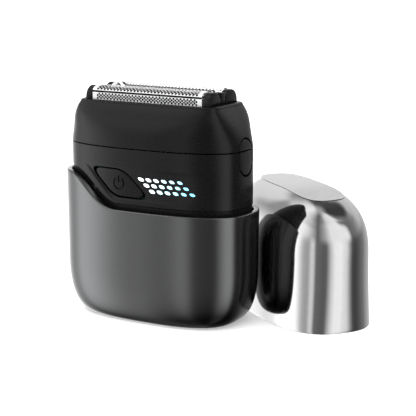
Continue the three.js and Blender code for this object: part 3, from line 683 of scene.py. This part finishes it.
WINDOW_X, WINDOW_Y = CARRIER_X + 0.35, FOIL_Y + (carrier_high[1] - carrier_low[1]) / 2 - 0.3


def build_head():
    """Lower lip, sides that draw in, rounded top edge, foil window, then the inside back down."""
    rings = []
    for turn in np.linspace(0, math.pi / 2, 5):
        inset = LIP * (1 - math.sin(turn))
        rings.append(ring(BODY_X - inset, BODY_Y - inset, HEAD_Z + LIP * (1 - math.cos(turn))))
    for z in np.linspace(HEAD_Z + LIP, HEAD_TOP - HEAD_EDGE, 46)[1:]:
        half_x, half_y, power = head_half(z)
        rings.append(ring(half_x, half_y, z, power))
    for turn in np.linspace(0, math.pi / 2, 8)[1:]:
        inset = HEAD_EDGE * (1 - math.cos(turn))
        rings.append(ring(half_x - inset, half_y - inset, HEAD_TOP - HEAD_EDGE * (1 - math.sin(turn)), power))
    for grow, z in ((0.25, HEAD_TOP), (0.08, HEAD_TOP - 0.06), (0, HEAD_TOP - 0.25), (0, HEAD_CEILING)):
        flat = rounded_rectangle(WINDOW_X + grow, WINDOW_Y + grow, 1.2, PHI)
        rings.append(np.column_stack([flat, np.full(len(flat), z)]))
    for z in np.linspace(HEAD_CEILING, HEAD_Z, 12):
        half_x, half_y, power = head_half(z)
        rings.append(ring(half_x - BODY_WALL, max(half_y - BODY_WALL, WINDOW_Y + 0.1), z, power))
    verts = np.concatenate(rings)
    return make("head_cover", verts, strips(rings, loop=True), head_black)


head = build_head()
cut(head, capsule_cutters())
soften(head, 32)
rib = block("rib", (-WINDOW_X - 0.5, -1.05, HEAD_CEILING + 0.2), (WINDOW_X + 0.5, 1.05, HEAD_TOP - 0.1),
            head_black, 0.25)
ends = [block("rib", (a, -1.1, 66.5), (b, 1.1, FOIL_CREST - 0.7), head_black, 0.35, 4)
        for a, b in ((-CARRIER_X, -FOIL_LENGTH / 2), (FOIL_LENGTH / 2, CARRIER_X))]
ribs = join("head_rib", [rib, *ends])
piece(head, "head", ["head_frame"])
piece(ribs, "head", [])


# ---------------------------------------------------------------- release buttons and head tabs
def side_point(sign):
    return lambda u, v, inward: (sign * (side_x(u, v) - inward), u, v)


PAD_GROW, PAD_EDGE, PAD_SINK = -0.22, 0.25, 0.1
RELEASE_DEPTH, TAB_DEPTH, PARTING_GAP = 3.6, 1.6, 0.05

for name, sign in (("left", -1), ("right", 1)):
    face = side_point(sign)
    lower = capsule_outline(PAD_GROW, flat_top=PARTING_Z - PARTING_GAP)
    press = pad(f"release_{name}_face", lower, face, RELEASE_DEPTH, head_black, PAD_EDGE, sink=PAD_SINK)
    piece(press, f"release_{name}", [f"release_button_{name}"])
    upper = capsule_outline(PAD_GROW, flat_low=HEAD_Z + PARTING_GAP)
    tab = pad(f"head_tab_{name}_face", upper, face, TAB_DEPTH, head_black, PAD_EDGE, sink=PAD_SINK)
    piece(tab, "head", [f"head_tab_{name}"])


# ---------------------------------------------------------------- foils
FOIL_PITCH, SIDE_HOLE, TOP_HOLE, PLAIN_END, SEAM, SHEET = 1.19, 0.355, 0.44, 1.7, 0.6, 0.06
RAIL_INSIDE, RAIL_HEIGHT, WALL_INSIDE, WALL_HEIGHT, END_GAP = 2.95, 3.4, 19.0, 3.2, 0.15


def foil_path():
    """The foil's section, front to back, as (across, z) points with their distance along it."""
    t = np.linspace(math.pi, 0, 200)
    rise = FOIL_CREST - FOIL_SHOULDER
    arc = np.stack([FOIL_HALF * np.cos(t), FOIL_SHOULDER + rise * np.sin(t)], axis=1)
    path = np.vstack([[(-FOIL_HALF, FOIL_LOW)], arc, [(FOIL_HALF, FOIL_LOW)]])
    run = np.concatenate([[0], np.cumsum(np.linalg.norm(np.diff(path, axis=0), axis=1))])
    return path, run


def perforated(path, run, middle, v0, v1, radius):
    """Staggered rows of round holes between v0 and v1, each hole in its own diamond of sheet."""
    columns = round(FOIL_LENGTH / FOIL_PITCH)
    rows = 2 * round((v1 - v0) / FOIL_PITCH) + 1
    pitch_u, pitch_v = FOIL_LENGTH / columns, (v1 - v0) / rows
    turn = np.linspace(0, 2 * math.pi, 12, endpoint=False)
    reach = 1 / (np.abs(np.cos(turn)) + np.abs(np.sin(turn)))
    rim = np.stack([np.cos(turn) * reach * pitch_u / 2, np.sin(turn) * reach * pitch_v], axis=1)
    verts, faces, index = [], [], {}

    def vertex(u, v):
        u = min(max(u, -FOIL_LENGTH / 2), FOIL_LENGTH / 2)
        v = min(max(v, v0), v1)
        key = (round(u, 3), round(v, 3))
        if key not in index:
            index[key] = len(verts)
            across, z = (np.interp(v, run, path[:, i]) for i in (0, 1))
            verts.append((u, middle + across, z))
        return index[key]

    for row in range(rows + 1):
        v = v0 + row * pitch_v
        for column in range(columns + 1 + row % 2):
            u = (column - 0.5 * (row % 2)) * pitch_u - FOIL_LENGTH / 2
            outer = [vertex(u + a, v + b) for a, b in rim]
            if 0 < row < rows and abs(u) < FOIL_LENGTH / 2 - PLAIN_END:
                inner = [vertex(u + radius * math.cos(a), v + radius * math.sin(a)) for a in turn]
                faces += [(outer[i - 1], outer[i], inner[i], inner[i - 1]) for i in range(len(rim))]
            else:
                corners = list(dict.fromkeys(outer))
                if len(corners) > 2:
                    faces.append(tuple(corners))
    return verts, faces


def face_outward(obj, axis):
    """Turn every face away from a line along X through the point axis."""
    bm = bmesh.new()
    bm.from_mesh(obj.data)
    for face in bm.faces:
        out = face.calc_center_median() - axis
        out.x = 0
        face.normal_update()
        if face.normal.dot(out) < 0:
            face.normal_flip()
    bm.to_mesh(obj.data)
    bm.free()


def build_foil(name, middle):
    """A thin perforated arch: two sides and a top, parted by a fine seam at each shoulder."""
    path, run = foil_path()
    side = FOIL_SHOULDER - FOIL_LOW
    verts, faces = [], []
    panels = ((0, side - SEAM / 2, SIDE_HOLE),
              (side + SEAM / 2, run[-1] - side - SEAM / 2, TOP_HOLE),
              (run[-1] - side + SEAM / 2, run[-1], SIDE_HOLE))
    for v0, v1, radius in panels:
        more_verts, more_faces = perforated(path, run, middle, v0, v1, radius)
        faces += [tuple(len(verts) + i for i in face) for face in more_faces]
        verts += more_verts
    obj = make(name, verts, faces, [foil_steel, foil_inside_painted_shade], 30)
    face_outward(obj, Vector((0, middle, FOIL_LOW)) * MM)
    # The sheet's inner face takes the second slot: near-black painted shade.
    modifier = obj.modifiers.new("sheet", "SOLIDIFY")
    modifier.material_offset = 1
    modifier.thickness = SHEET * MM
    modifier.offset = -1
    apply_modifiers(obj)
    soften(obj, 30)
    return obj


def end_cap(middle, inner, outer):
    """A round-topped end of a foil carrier, with soft edges."""
    half = (carrier_high[1] - carrier_low[1]) / 2 - 0.65
    low = HEAD_TOP - 1.5
    t = np.linspace(0, math.pi, 40)
    arc = [(middle + half * math.cos(a), CARRIER_TOP - 0.4 - half + half * math.sin(a)) for a in t]
    outline = np.array([(middle + half, low), *arc, (middle - half, low)])
    obj = prism("end", outline, along_x, inner, outer, gloss_black)
    return bevelled(obj, 0.35, 4, 50)


for name, sign in (("front", -1), ("rear", 1)):
    middle = sign * FOIL_Y
    foil = build_foil(f"foil_{name}_sheet", middle)
    piece(foil, f"foil_unit_{name}", [f"foil_{name}"])
    low, high = box_mm(f"foil_carrier_{name}")
    rails = [block("rail", (-FOIL_LENGTH / 2, middle + a, low[2]),
                   (FOIL_LENGTH / 2, middle + b, low[2] + RAIL_HEIGHT), gloss_black, 0.15)
             for a, b in ((-FOIL_HALF, -RAIL_INSIDE), (RAIL_INSIDE, FOIL_HALF))]
    walls = [block("wall", (a, middle - FOIL_HALF, low[2]),
                   (b, middle + FOIL_HALF, low[2] + WALL_HEIGHT), gloss_black, 0.15)
             for a, b in ((low[0], -WALL_INSIDE), (WALL_INSIDE, high[0]))]
    ends = [end_cap(middle, low[0], -FOIL_LENGTH / 2 - END_GAP),
            end_cap(middle, FOIL_LENGTH / 2 + END_GAP, high[0])]
    carrier = join(f"foil_{name}_carrier", [*ends, *rails, *walls])
    piece(carrier, f"foil_unit_{name}", [f"foil_carrier_{name}"])


# ---------------------------------------------------------------- inner cutters
BLADES, BLADE_HALF, BAR_HALF, BAR_HEIGHT = 30, 0.14, 1.2, 1.4

def build_cutter(name):
    """A comb of thin arched blades on a bar."""
    low, high = box_mm(f"inner_cutter_{name}")
    middle = (low[1] + high[1]) / 2
    half = (high[1] - low[1]) / 2
    shoulder = low[2] + (high[2] - low[2]) * 0.63
    t = np.linspace(0, math.pi, 18)
    arc = [(middle + half * math.cos(a), shoulder + (high[2] - shoulder) * math.sin(a)) for a in t]
    outline = np.array([(middle + half, low[2]), *arc, (middle - half, low[2])])
    blades = []
    for i in range(BLADES):
        x = low[0] + (i + 0.5) * (high[0] - low[0]) / BLADES
        # Blades and bar take the near-black steel: painted shade under the foil.
        blades.append(prism("blade", outline, along_x, x - BLADE_HALF, x + BLADE_HALF, blade_steel_painted_shade))
    bar_low, bar_high = (low[0], middle - BAR_HALF, low[2]), (high[0], middle + BAR_HALF, low[2] + BAR_HEIGHT)
    blades.append(block("bar", bar_low, bar_high, blade_steel_painted_shade, 0.1))
    return join(f"cutter_{name}_comb", blades)


for name in ("front", "rear"):
    piece(build_cutter(name), f"blade_{name}", [f"inner_cutter_{name}"])


# ---------------------------------------------------------------- travel cap
def cap_ring(z):
    """The cap's outline at height z, or at one height per column."""
    z = np.broadcast_to(np.asarray(z, float), PHI.shape)
    step = np.clip((z - CAP_STRAIGHT) / (CAP_APEX - CAP_STRAIGHT), 0, 0.9999)
    low = np.clip(1 - z / CAP_STRAIGHT, 0, 1)
    draft = CAP_DRAFT * z / CAP_STRAIGHT
    half_x = (SHELL_X - draft) * (1 - step ** DOME_POWER_X) ** (1 / DOME_POWER_X)
    half_y = (SHELL_Y - draft) * (1 - step ** DOME_POWER_Y) ** (1 / DOME_POWER_Y)
    power = CAP_POWER + (PLAN_POWER - CAP_POWER) * low ** 2 + CAP_SQUARE * step ** 2
    return ring(half_x, half_y, z, power)


scoop_middle = (SCOOP_START + SCOOP_END) / 2
scoop_curve = bezier((SCOOP_START, CAP_HEIGHT), (scoop_middle, CAP_HEIGHT),
                     (scoop_middle, CAP_DIP), (SCOOP_END, CAP_DIP))


def scoop(x):
    """Height of the cap's cut top at x."""
    return np.interp(x, scoop_curve[:, 0], scoop_curve[:, 1])


def cap_wave(x):
    """Height of the cap's lower edge at x: it fits the shell's rim when the cap is on."""
    return wave(x) - RIM_Z


def crease_heights():
    """The height at which each column of the dome meets the cut top."""
    low, high = np.full(COLUMNS, CAP_STRAIGHT), np.full(COLUMNS, CAP_APEX - 0.01)
    for _ in range(40):
        middle = (low + high) / 2
        above = middle > scoop(cap_ring(middle)[:, 0])
        high = np.where(above, middle, high)
        low = np.where(above, low, middle)
    return low


def cap_outside(bottom, crease):
    """Rings of the chrome outside, and the index of the facet's rim: mouth, walls, dome, fine edge, facet."""
    rings = []
    for turn in np.linspace(0, math.pi / 2, 4):
        points = cap_ring(bottom + MOUTH_EDGE * (1 - math.cos(turn)))
        reach = np.linalg.norm(points[:, :2], axis=1)[:, None]
        points[:, :2] *= 1 - MOUTH_EDGE * (1 - math.sin(turn)) / reach
        rings.append(points)
    for part in np.linspace(0, 1, 26)[1:]:
        rings.append(cap_ring(bottom + MOUTH_EDGE + (CAP_STRAIGHT - bottom - MOUTH_EDGE) * part))
    for part in np.linspace(0, 1, 64)[1:]:
        share = math.sin(part * math.pi / 2)
        rings.append(cap_ring(CAP_STRAIGHT + (crease - FACET_EDGE - CAP_STRAIGHT) * share))
    rim = cap_ring(crease - FACET_EDGE)
    rim[:, 2] = scoop(rim[:, 0]) - FACET_SINK
    rim_index = len(rings)
    rings.append(rim)
    middle = np.array([2.0, 0.0])
    for part in np.concatenate([[0.985, 0.97], np.linspace(0.94, 0.05, 30)]):
        flat = middle + (rim[:, :2] - middle) * part
        rings.append(np.column_stack([flat, scoop(flat[:, 0])]))
    return rings, rim_index

def cap_inside(bottom, crease):
    """Rings of the chrome inside, from the mouth up."""
    rings = []
    for part in np.linspace(0, 0.97, 24):
        points = cap_ring(bottom + 0.1 + (crease - bottom) * part)
        reach = np.maximum(np.linalg.norm(points[:, :2], axis=1), 6)
        points[:, :2] *= 1 - SKIN_WALL / reach[:, None]
        points[:, 2] -= 0.4 * part
        rings.append(points)
    return rings

def build_cap():
    """The chrome cap: outside, inside and the mouth between them; the facet is satin, and its edge strip is
    darker gunmetal as a painted dark reflection.
    """
    bottom = cap_wave(ring(SHELL_X, SHELL_Y, 0)[:, 0])
    crease = crease_heights()
    rings, rim_index = cap_outside(bottom, crease)
    verts, faces = capped(rings, bottom=False)
    first, outer_faces = len(verts), len(faces)
    inside = cap_inside(bottom, crease)
    faces += [face[::-1] for face in strips(inside, first=first)]
    faces += [(j, (j + 1) % COLUMNS, first + (j + 1) % COLUMNS, first + j) for j in range(COLUMNS)]
    top = first + (len(inside) - 1) * COLUMNS
    faces += fan(list(range(top, top + COLUMNS)), top + COLUMNS)
    verts = np.vstack([verts, *inside, inside[-1].mean(axis=0)])
    obj = make("cap_chrome", stand(verts), faces, [chrome, satin_chrome, gunmetal], 28)
    for i in range((rim_index + 1) * COLUMNS, outer_faces):
        obj.data.polygons[i].material_index = 1
    # The fine edge strip under the facet's rim takes gunmetal: a painted dark reflection along the crease.
    for i in range((rim_index - 1) * COLUMNS, rim_index * COLUMNS):
        obj.data.polygons[i].material_index = 2
    return obj

def stand(points):
    """From the cap's own frame to where it stands."""
    points = np.asarray(points, float)
    c, s = math.cos(CAP_TURN), math.sin(CAP_TURN)
    x = points[:, 0] * c - points[:, 1] * s + CAP_X
    y = points[:, 0] * s + points[:, 1] * c + CAP_Y
    return np.column_stack([x, y, points[:, 2]])


piece(build_cap(), "cap", ["cap_shell"])


LINER_INSET, CEILING = 1.25, 36.3


def liner_ring(z, grow, bottom):
    step = np.clip((z - CAP_STRAIGHT) / (CAP_APEX - CAP_STRAIGHT), 0, 1)
    inset = LINER_INSET * (1 + step ** 3) - grow
    points = cap_ring(np.maximum(z, bottom))
    reach = np.linalg.norm(points[:, :2], axis=1)
    points[:, :2] *= (1 - inset / reach)[:, None]
    return points


def build_liner():
    """The black inner liner: its mouth sits just inside the chrome edge."""
    bottom = cap_wave(ring(SHELL_X, SHELL_Y, 0)[:, 0]) + 0.35
    heights = np.concatenate([np.linspace(0, CAP_STRAIGHT, 8)[:-1], np.linspace(CAP_STRAIGHT, CEILING, 14)])
    thickness = 0.35
    inner = [liner_ring(z, 0, bottom) for z in heights]
    outer = [liner_ring(z, thickness, bottom) + np.array([0, 0, thickness * (z > CEILING - 0.1)])
             for z in heights]
    verts, faces = capped(inner[::-1] + outer)
    return make("cap_lining", stand(verts), faces, liner_black)


piece(build_liner(), "cap", ["cap_liner"])


# ---------------------------------------------------------------- springs
SPRING_WIRE, SPRING_TURNS, CLOSED_END = 0.27, 4, 0.14
FLOAT_TRAVEL, RELEASE_TRAVEL = 1.2, 1.5


def build_coil(name, node, along):
    """A round-wire compression spring with closed ends, filling its node's box along one axis."""
    low, high = (np.array(corner) for corner in box_mm(node))
    centre = (low + high) / 2
    length = (high - low)[along] - 2 * SPRING_WIRE
    radius = (high - low)[(along + 1) % 3] / 2 - SPRING_WIRE
    axis, right, up = (np.roll(np.array([1.0, 0.0, 0.0]), along + k) for k in range(3))
    section = np.linspace(0, 2 * math.pi, 10, endpoint=False)[:, None]
    rings = []
    for part in np.linspace(0, 1, SPRING_TURNS * 28):
        rise = np.clip((part - CLOSED_END) / (1 - 2 * CLOSED_END), 0, 1) - 0.5
        turn = part * SPRING_TURNS * 2 * math.pi
        out = right * math.cos(turn) + up * math.sin(turn)
        middle = centre + out * radius + axis * length * rise
        rings.append(middle + SPRING_WIRE * (out * np.cos(section) + axis * np.sin(section)))
    verts, faces = capped(rings)
    return make(name, verts, faces, steel, 60)


for node, body, joint, along, toward, travel in (
        ("blade_spring_front", "oscillator", "foil_front_float", 2, -1, FLOAT_TRAVEL),
        ("blade_spring_rear", "oscillator", "foil_rear_float", 2, -1, FLOAT_TRAVEL),
        ("release_spring_left", "shaver_body", "release_left_press", 0, 1, RELEASE_TRAVEL),
        ("release_spring_right", "shaver_body", "release_right_press", 0, -1, RELEASE_TRAVEL)):
    coil = build_coil(node + "_coil", node, along)
    piece(coil, body, [node])
    low, high = (np.array(corner) for corner in box_mm(node))
    foot = (low + high) / 2
    foot[along] = low[along] if toward < 0 else high[along]
    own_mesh(coil)


# ---------------------------------------------------------------- carried-over CAD nodes
FINISHES = (
    (rubber, ("rim_seal", "shaft_seal")),
    (cell_blue, ("battery_cell",)),
    (nickel, ("battery_tab_left", "battery_tab_right")),
    (matte_black, ("battery_cradle", "drive_deck")),
    (board_green, ("port_board", "circuit_board")),
    (grey_plastic, ("drive_chassis",)),
    (steel, ("usb_c_socket", "power_switch", "motor_can", "motor_shaft",
             "deck_screw_1", "deck_screw_2", "deck_screw_3", "deck_screw_4")),
    (acetal, ("bridge_flexure_left", "bridge_flexure_right", "eccentric_cam", "drive_bridge",
              "blade_holder_front", "blade_holder_rear")),
)
for material, names in FINISHES:
    for name in names:
        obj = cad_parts[name]
        obj.data.materials.clear()
        obj.data.materials.append(material)
        obj.data.polygons.foreach_set("use_smooth", [True] * len(obj.data.polygons))
        obj.data.set_sharp_from_angle(angle=math.radians(35))

# ---------------------------------------------------------------- floor, studio and camera
def build_floor():
    material, nodes, links, bsdf = new_material("pale_floor")
    noise = object_noise(nodes, links, 30)
    tint(nodes, links, noise.outputs["Fac"], (0.9, 0.9, 0.9), (0.92, 0.92, 0.92), bsdf.inputs["Base Color"])
    bsdf.inputs["Roughness"].default_value = 0.6
    bsdf.inputs["Emission Color"].default_value = (1, 1, 1, 1)
    bsdf.inputs["Emission Strength"].default_value = 0.3
    half = 3000
    verts = [(-half, -half, 0), (half, -half, 0), (half, half, 0), (-half, half, 0)]
    floor = make("floor", verts, [(0, 1, 2, 3)], material)
    floor.visible_glossy = False


# How bright the studio is all round: (degrees from the front toward +X, brightness) at four heights
LEVEL = [(-180, 0.5), (-160, 0.8), (-148, 1.9), (-126, 1.9), (-104, 1.1), (-92, 0.8), (-82, 0.95),
         (-72, 1.6), (-62, 1.6), (-52, 1.35), (-44, 0.98), (-38, 0.64), (-32, 0.42), (-23, 0.34),
         (-17, 0.45), (-13, 0.66), (-7, 0.62), (1, 0.14), (26, 0.1), (34, 0.12), (42, 0.34), (50, 0.62),
         (62, 0.9), (76, 0.93), (82, 0.75), (88, 0.28), (94, 0.07), (104, 0.05), (120, 0.1), (140, 0.18),
         (152, 0.3), (180, 0.5)]
RAISED = [(-180, 0.6), (-150, 0.72), (-125, 0.75), (-111, 0.68), (-105, 0.28), (-98, 0.3), (-88, 0.7),
          (-75, 1.05), (-50, 1.0), (-38, 0.88), (-20, 0.55), (4, 0.1), (30, 0.35), (55, 0.8), (88, 0.86),
          (96, 0.12), (113, 0.17), (132, 0.32), (150, 0.5), (180, 0.6)]
UPPER = [(-180, 0.55), (-150, 0.65), (-134, 0.5), (-125, 0.2), (-117, 0.28), (-108, 0.45), (-96, 0.7),
         (-80, 0.88), (-60, 0.88), (-45, 0.72), (-27, 0.5), (4, 0.1), (31, 0.36), (56, 0.8), (89, 0.88),
         (96, 0.12), (113, 0.16), (132, 0.25), (150, 0.48), (180, 0.55)]
HIGH = [(-180, 0.06), (-150, 0.06), (-125, 0.1), (-110, 0.5), (-95, 0.8), (-70, 0.92), (-45, 0.68),
        (-28, 0.45), (-8, 0.17), (5, 0.1), (30, 0.25), (55, 0.65), (78, 0.8), (98, 0.8), (105, 0.18),
        (120, 0.03), (150, 0.03), (180, 0.06)]
ZENITH = 0.35
OPEN_WHITE, SECOND_GLANCE, UNDERNEATH = 2.2, 0.16, 0.1


def ramp_of(nodes, stops):
    """A grey ramp over a full turn, from -180 to 180 degrees."""
    ramp = nodes.new("ShaderNodeValToRGB")
    elements = ramp.color_ramp.elements
    for degrees, _ in stops[1:-1]:
        elements.new((degrees + 180) / 360)
    for element, (degrees, value) in zip(elements, stops):
        element.position = (degrees + 180) / 360
        element.color = (value, value, value, 1)
    return ramp


def math_node(nodes, links, operation, first, second=None):
    node = nodes.new("ShaderNodeMath")
    node.operation = operation
    for socket, value in zip(node.inputs, (first, second)):
        if value is None:
            continue
        if isinstance(value, (int, float)):
            socket.default_value = value
        else:
            links.new(value, socket)
    return node.outputs["Value"]


def build_world():
    """A white room whose soft boxes and gaps show only as reflections."""
    world = bpy.data.worlds.new("studio")
    bpy.context.scene.world = world
    world.use_nodes = True
    nodes, links = world.node_tree.nodes, world.node_tree.links
    background = nodes["Background"]
    coords = nodes.new("ShaderNodeTexCoord")
    split = nodes.new("ShaderNodeSeparateXYZ")
    links.new(coords.outputs["Generated"], split.inputs["Vector"])
    front = math_node(nodes, links, "MULTIPLY", split.outputs["Y"], -1.0)
    around = math_node(nodes, links, "ARCTAN2", split.outputs["X"], front)
    turn = math_node(nodes, links, "MULTIPLY_ADD", around, 0.5 / math.pi)
    turn.node.inputs[2].default_value = 0.5
    rise = math_node(nodes, links, "ARCSINE", split.outputs["Z"])
    rings = []
    for stops in (LEVEL, RAISED, UPPER, HIGH):
        ramp = ramp_of(nodes, stops)
        links.new(turn, ramp.inputs["Fac"])
        rings.append(ramp.outputs["Color"])
    mirrored = rings[0]
    for upper, start, end in ((rings[1], 3, 20), (rings[2], 29, 38), (rings[3], 47, 58), (ZENITH, 70, 89)):
        span = nodes.new("ShaderNodeMapRange")
        span.interpolation_type = "SMOOTHSTEP"
        span.inputs["From Min"].default_value = math.radians(start)
        span.inputs["From Max"].default_value = math.radians(end)
        links.new(rise, span.inputs["Value"])
        step = math_node(nodes, links, "SUBTRACT", upper, mirrored)
        blend = math_node(nodes, links, "MULTIPLY_ADD", step, span.outputs["Result"])
        links.new(mirrored, blend.node.inputs[2])
        mirrored = blend
    shade = nodes.new("ShaderNodeMapRange")
    shade.interpolation_type = "SMOOTHSTEP"
    shade.inputs["From Min"].default_value = math.radians(-58)
    shade.inputs["From Max"].default_value = math.radians(-20)
    shade.inputs["To Min"].default_value = UNDERNEATH
    links.new(rise, shade.inputs["Value"])
    mirrored = math_node(nodes, links, "MULTIPLY", mirrored, shade.outputs["Result"])
    path = nodes.new("ShaderNodeLightPath")
    later = math_node(nodes, links, "GREATER_THAN", path.outputs["Ray Depth"], 2.5)
    dimmed = math_node(nodes, links, "MULTIPLY_ADD", later, SECOND_GLANCE - 1)
    dimmed.node.inputs[2].default_value = 1.0
    mirrored = math_node(nodes, links, "MULTIPLY", mirrored, dimmed)
    plain = math_node(nodes, links, "SUBTRACT", 1.0, path.outputs["Is Glossy Ray"])
    shown = math_node(nodes, links, "MULTIPLY", mirrored, path.outputs["Is Glossy Ray"])
    strength = math_node(nodes, links, "MULTIPLY_ADD", plain, OPEN_WHITE)
    links.new(shown, strength.node.inputs[2])
    background.inputs["Color"].default_value = (1, 1, 1, 1)
    links.new(strength, background.inputs["Strength"])


CAMERA_AZIMUTH, CAMERA_ELEVATION = math.radians(29.67), math.radians(11.81)
CAMERA_DISTANCE, PIXELS_PER_MM, IMAGE, SENSOR = 400.0, 3.25, 416, 36.0
TARGET_SIDE, TARGET_Z = 14.26, 33.48


def build_camera():
    camera = bpy.data.cameras.new("camera")
    camera.sensor_width = SENSOR
    camera.lens = PIXELS_PER_MM * CAMERA_DISTANCE / IMAGE * SENSOR
    obj = bpy.data.objects.new("camera", camera)
    sa, ca = math.sin(CAMERA_AZIMUTH), math.cos(CAMERA_AZIMUTH)
    se, ce = math.sin(CAMERA_ELEVATION), math.cos(CAMERA_ELEVATION)
    look = Vector((-sa * ce, ca * ce, -se))
    target = Vector((TARGET_SIDE * ca, TARGET_SIDE * sa, TARGET_Z))
    obj.location = (target - look * CAMERA_DISTANCE) * MM
    obj.rotation_euler = look.to_track_quat("-Z", "Y").to_euler()
    bpy.context.scene.collection.objects.link(obj)
    bpy.context.scene.camera = obj


bpy.context.scene.view_settings.view_transform = "Standard"
build_floor()
build_world()
build_camera()
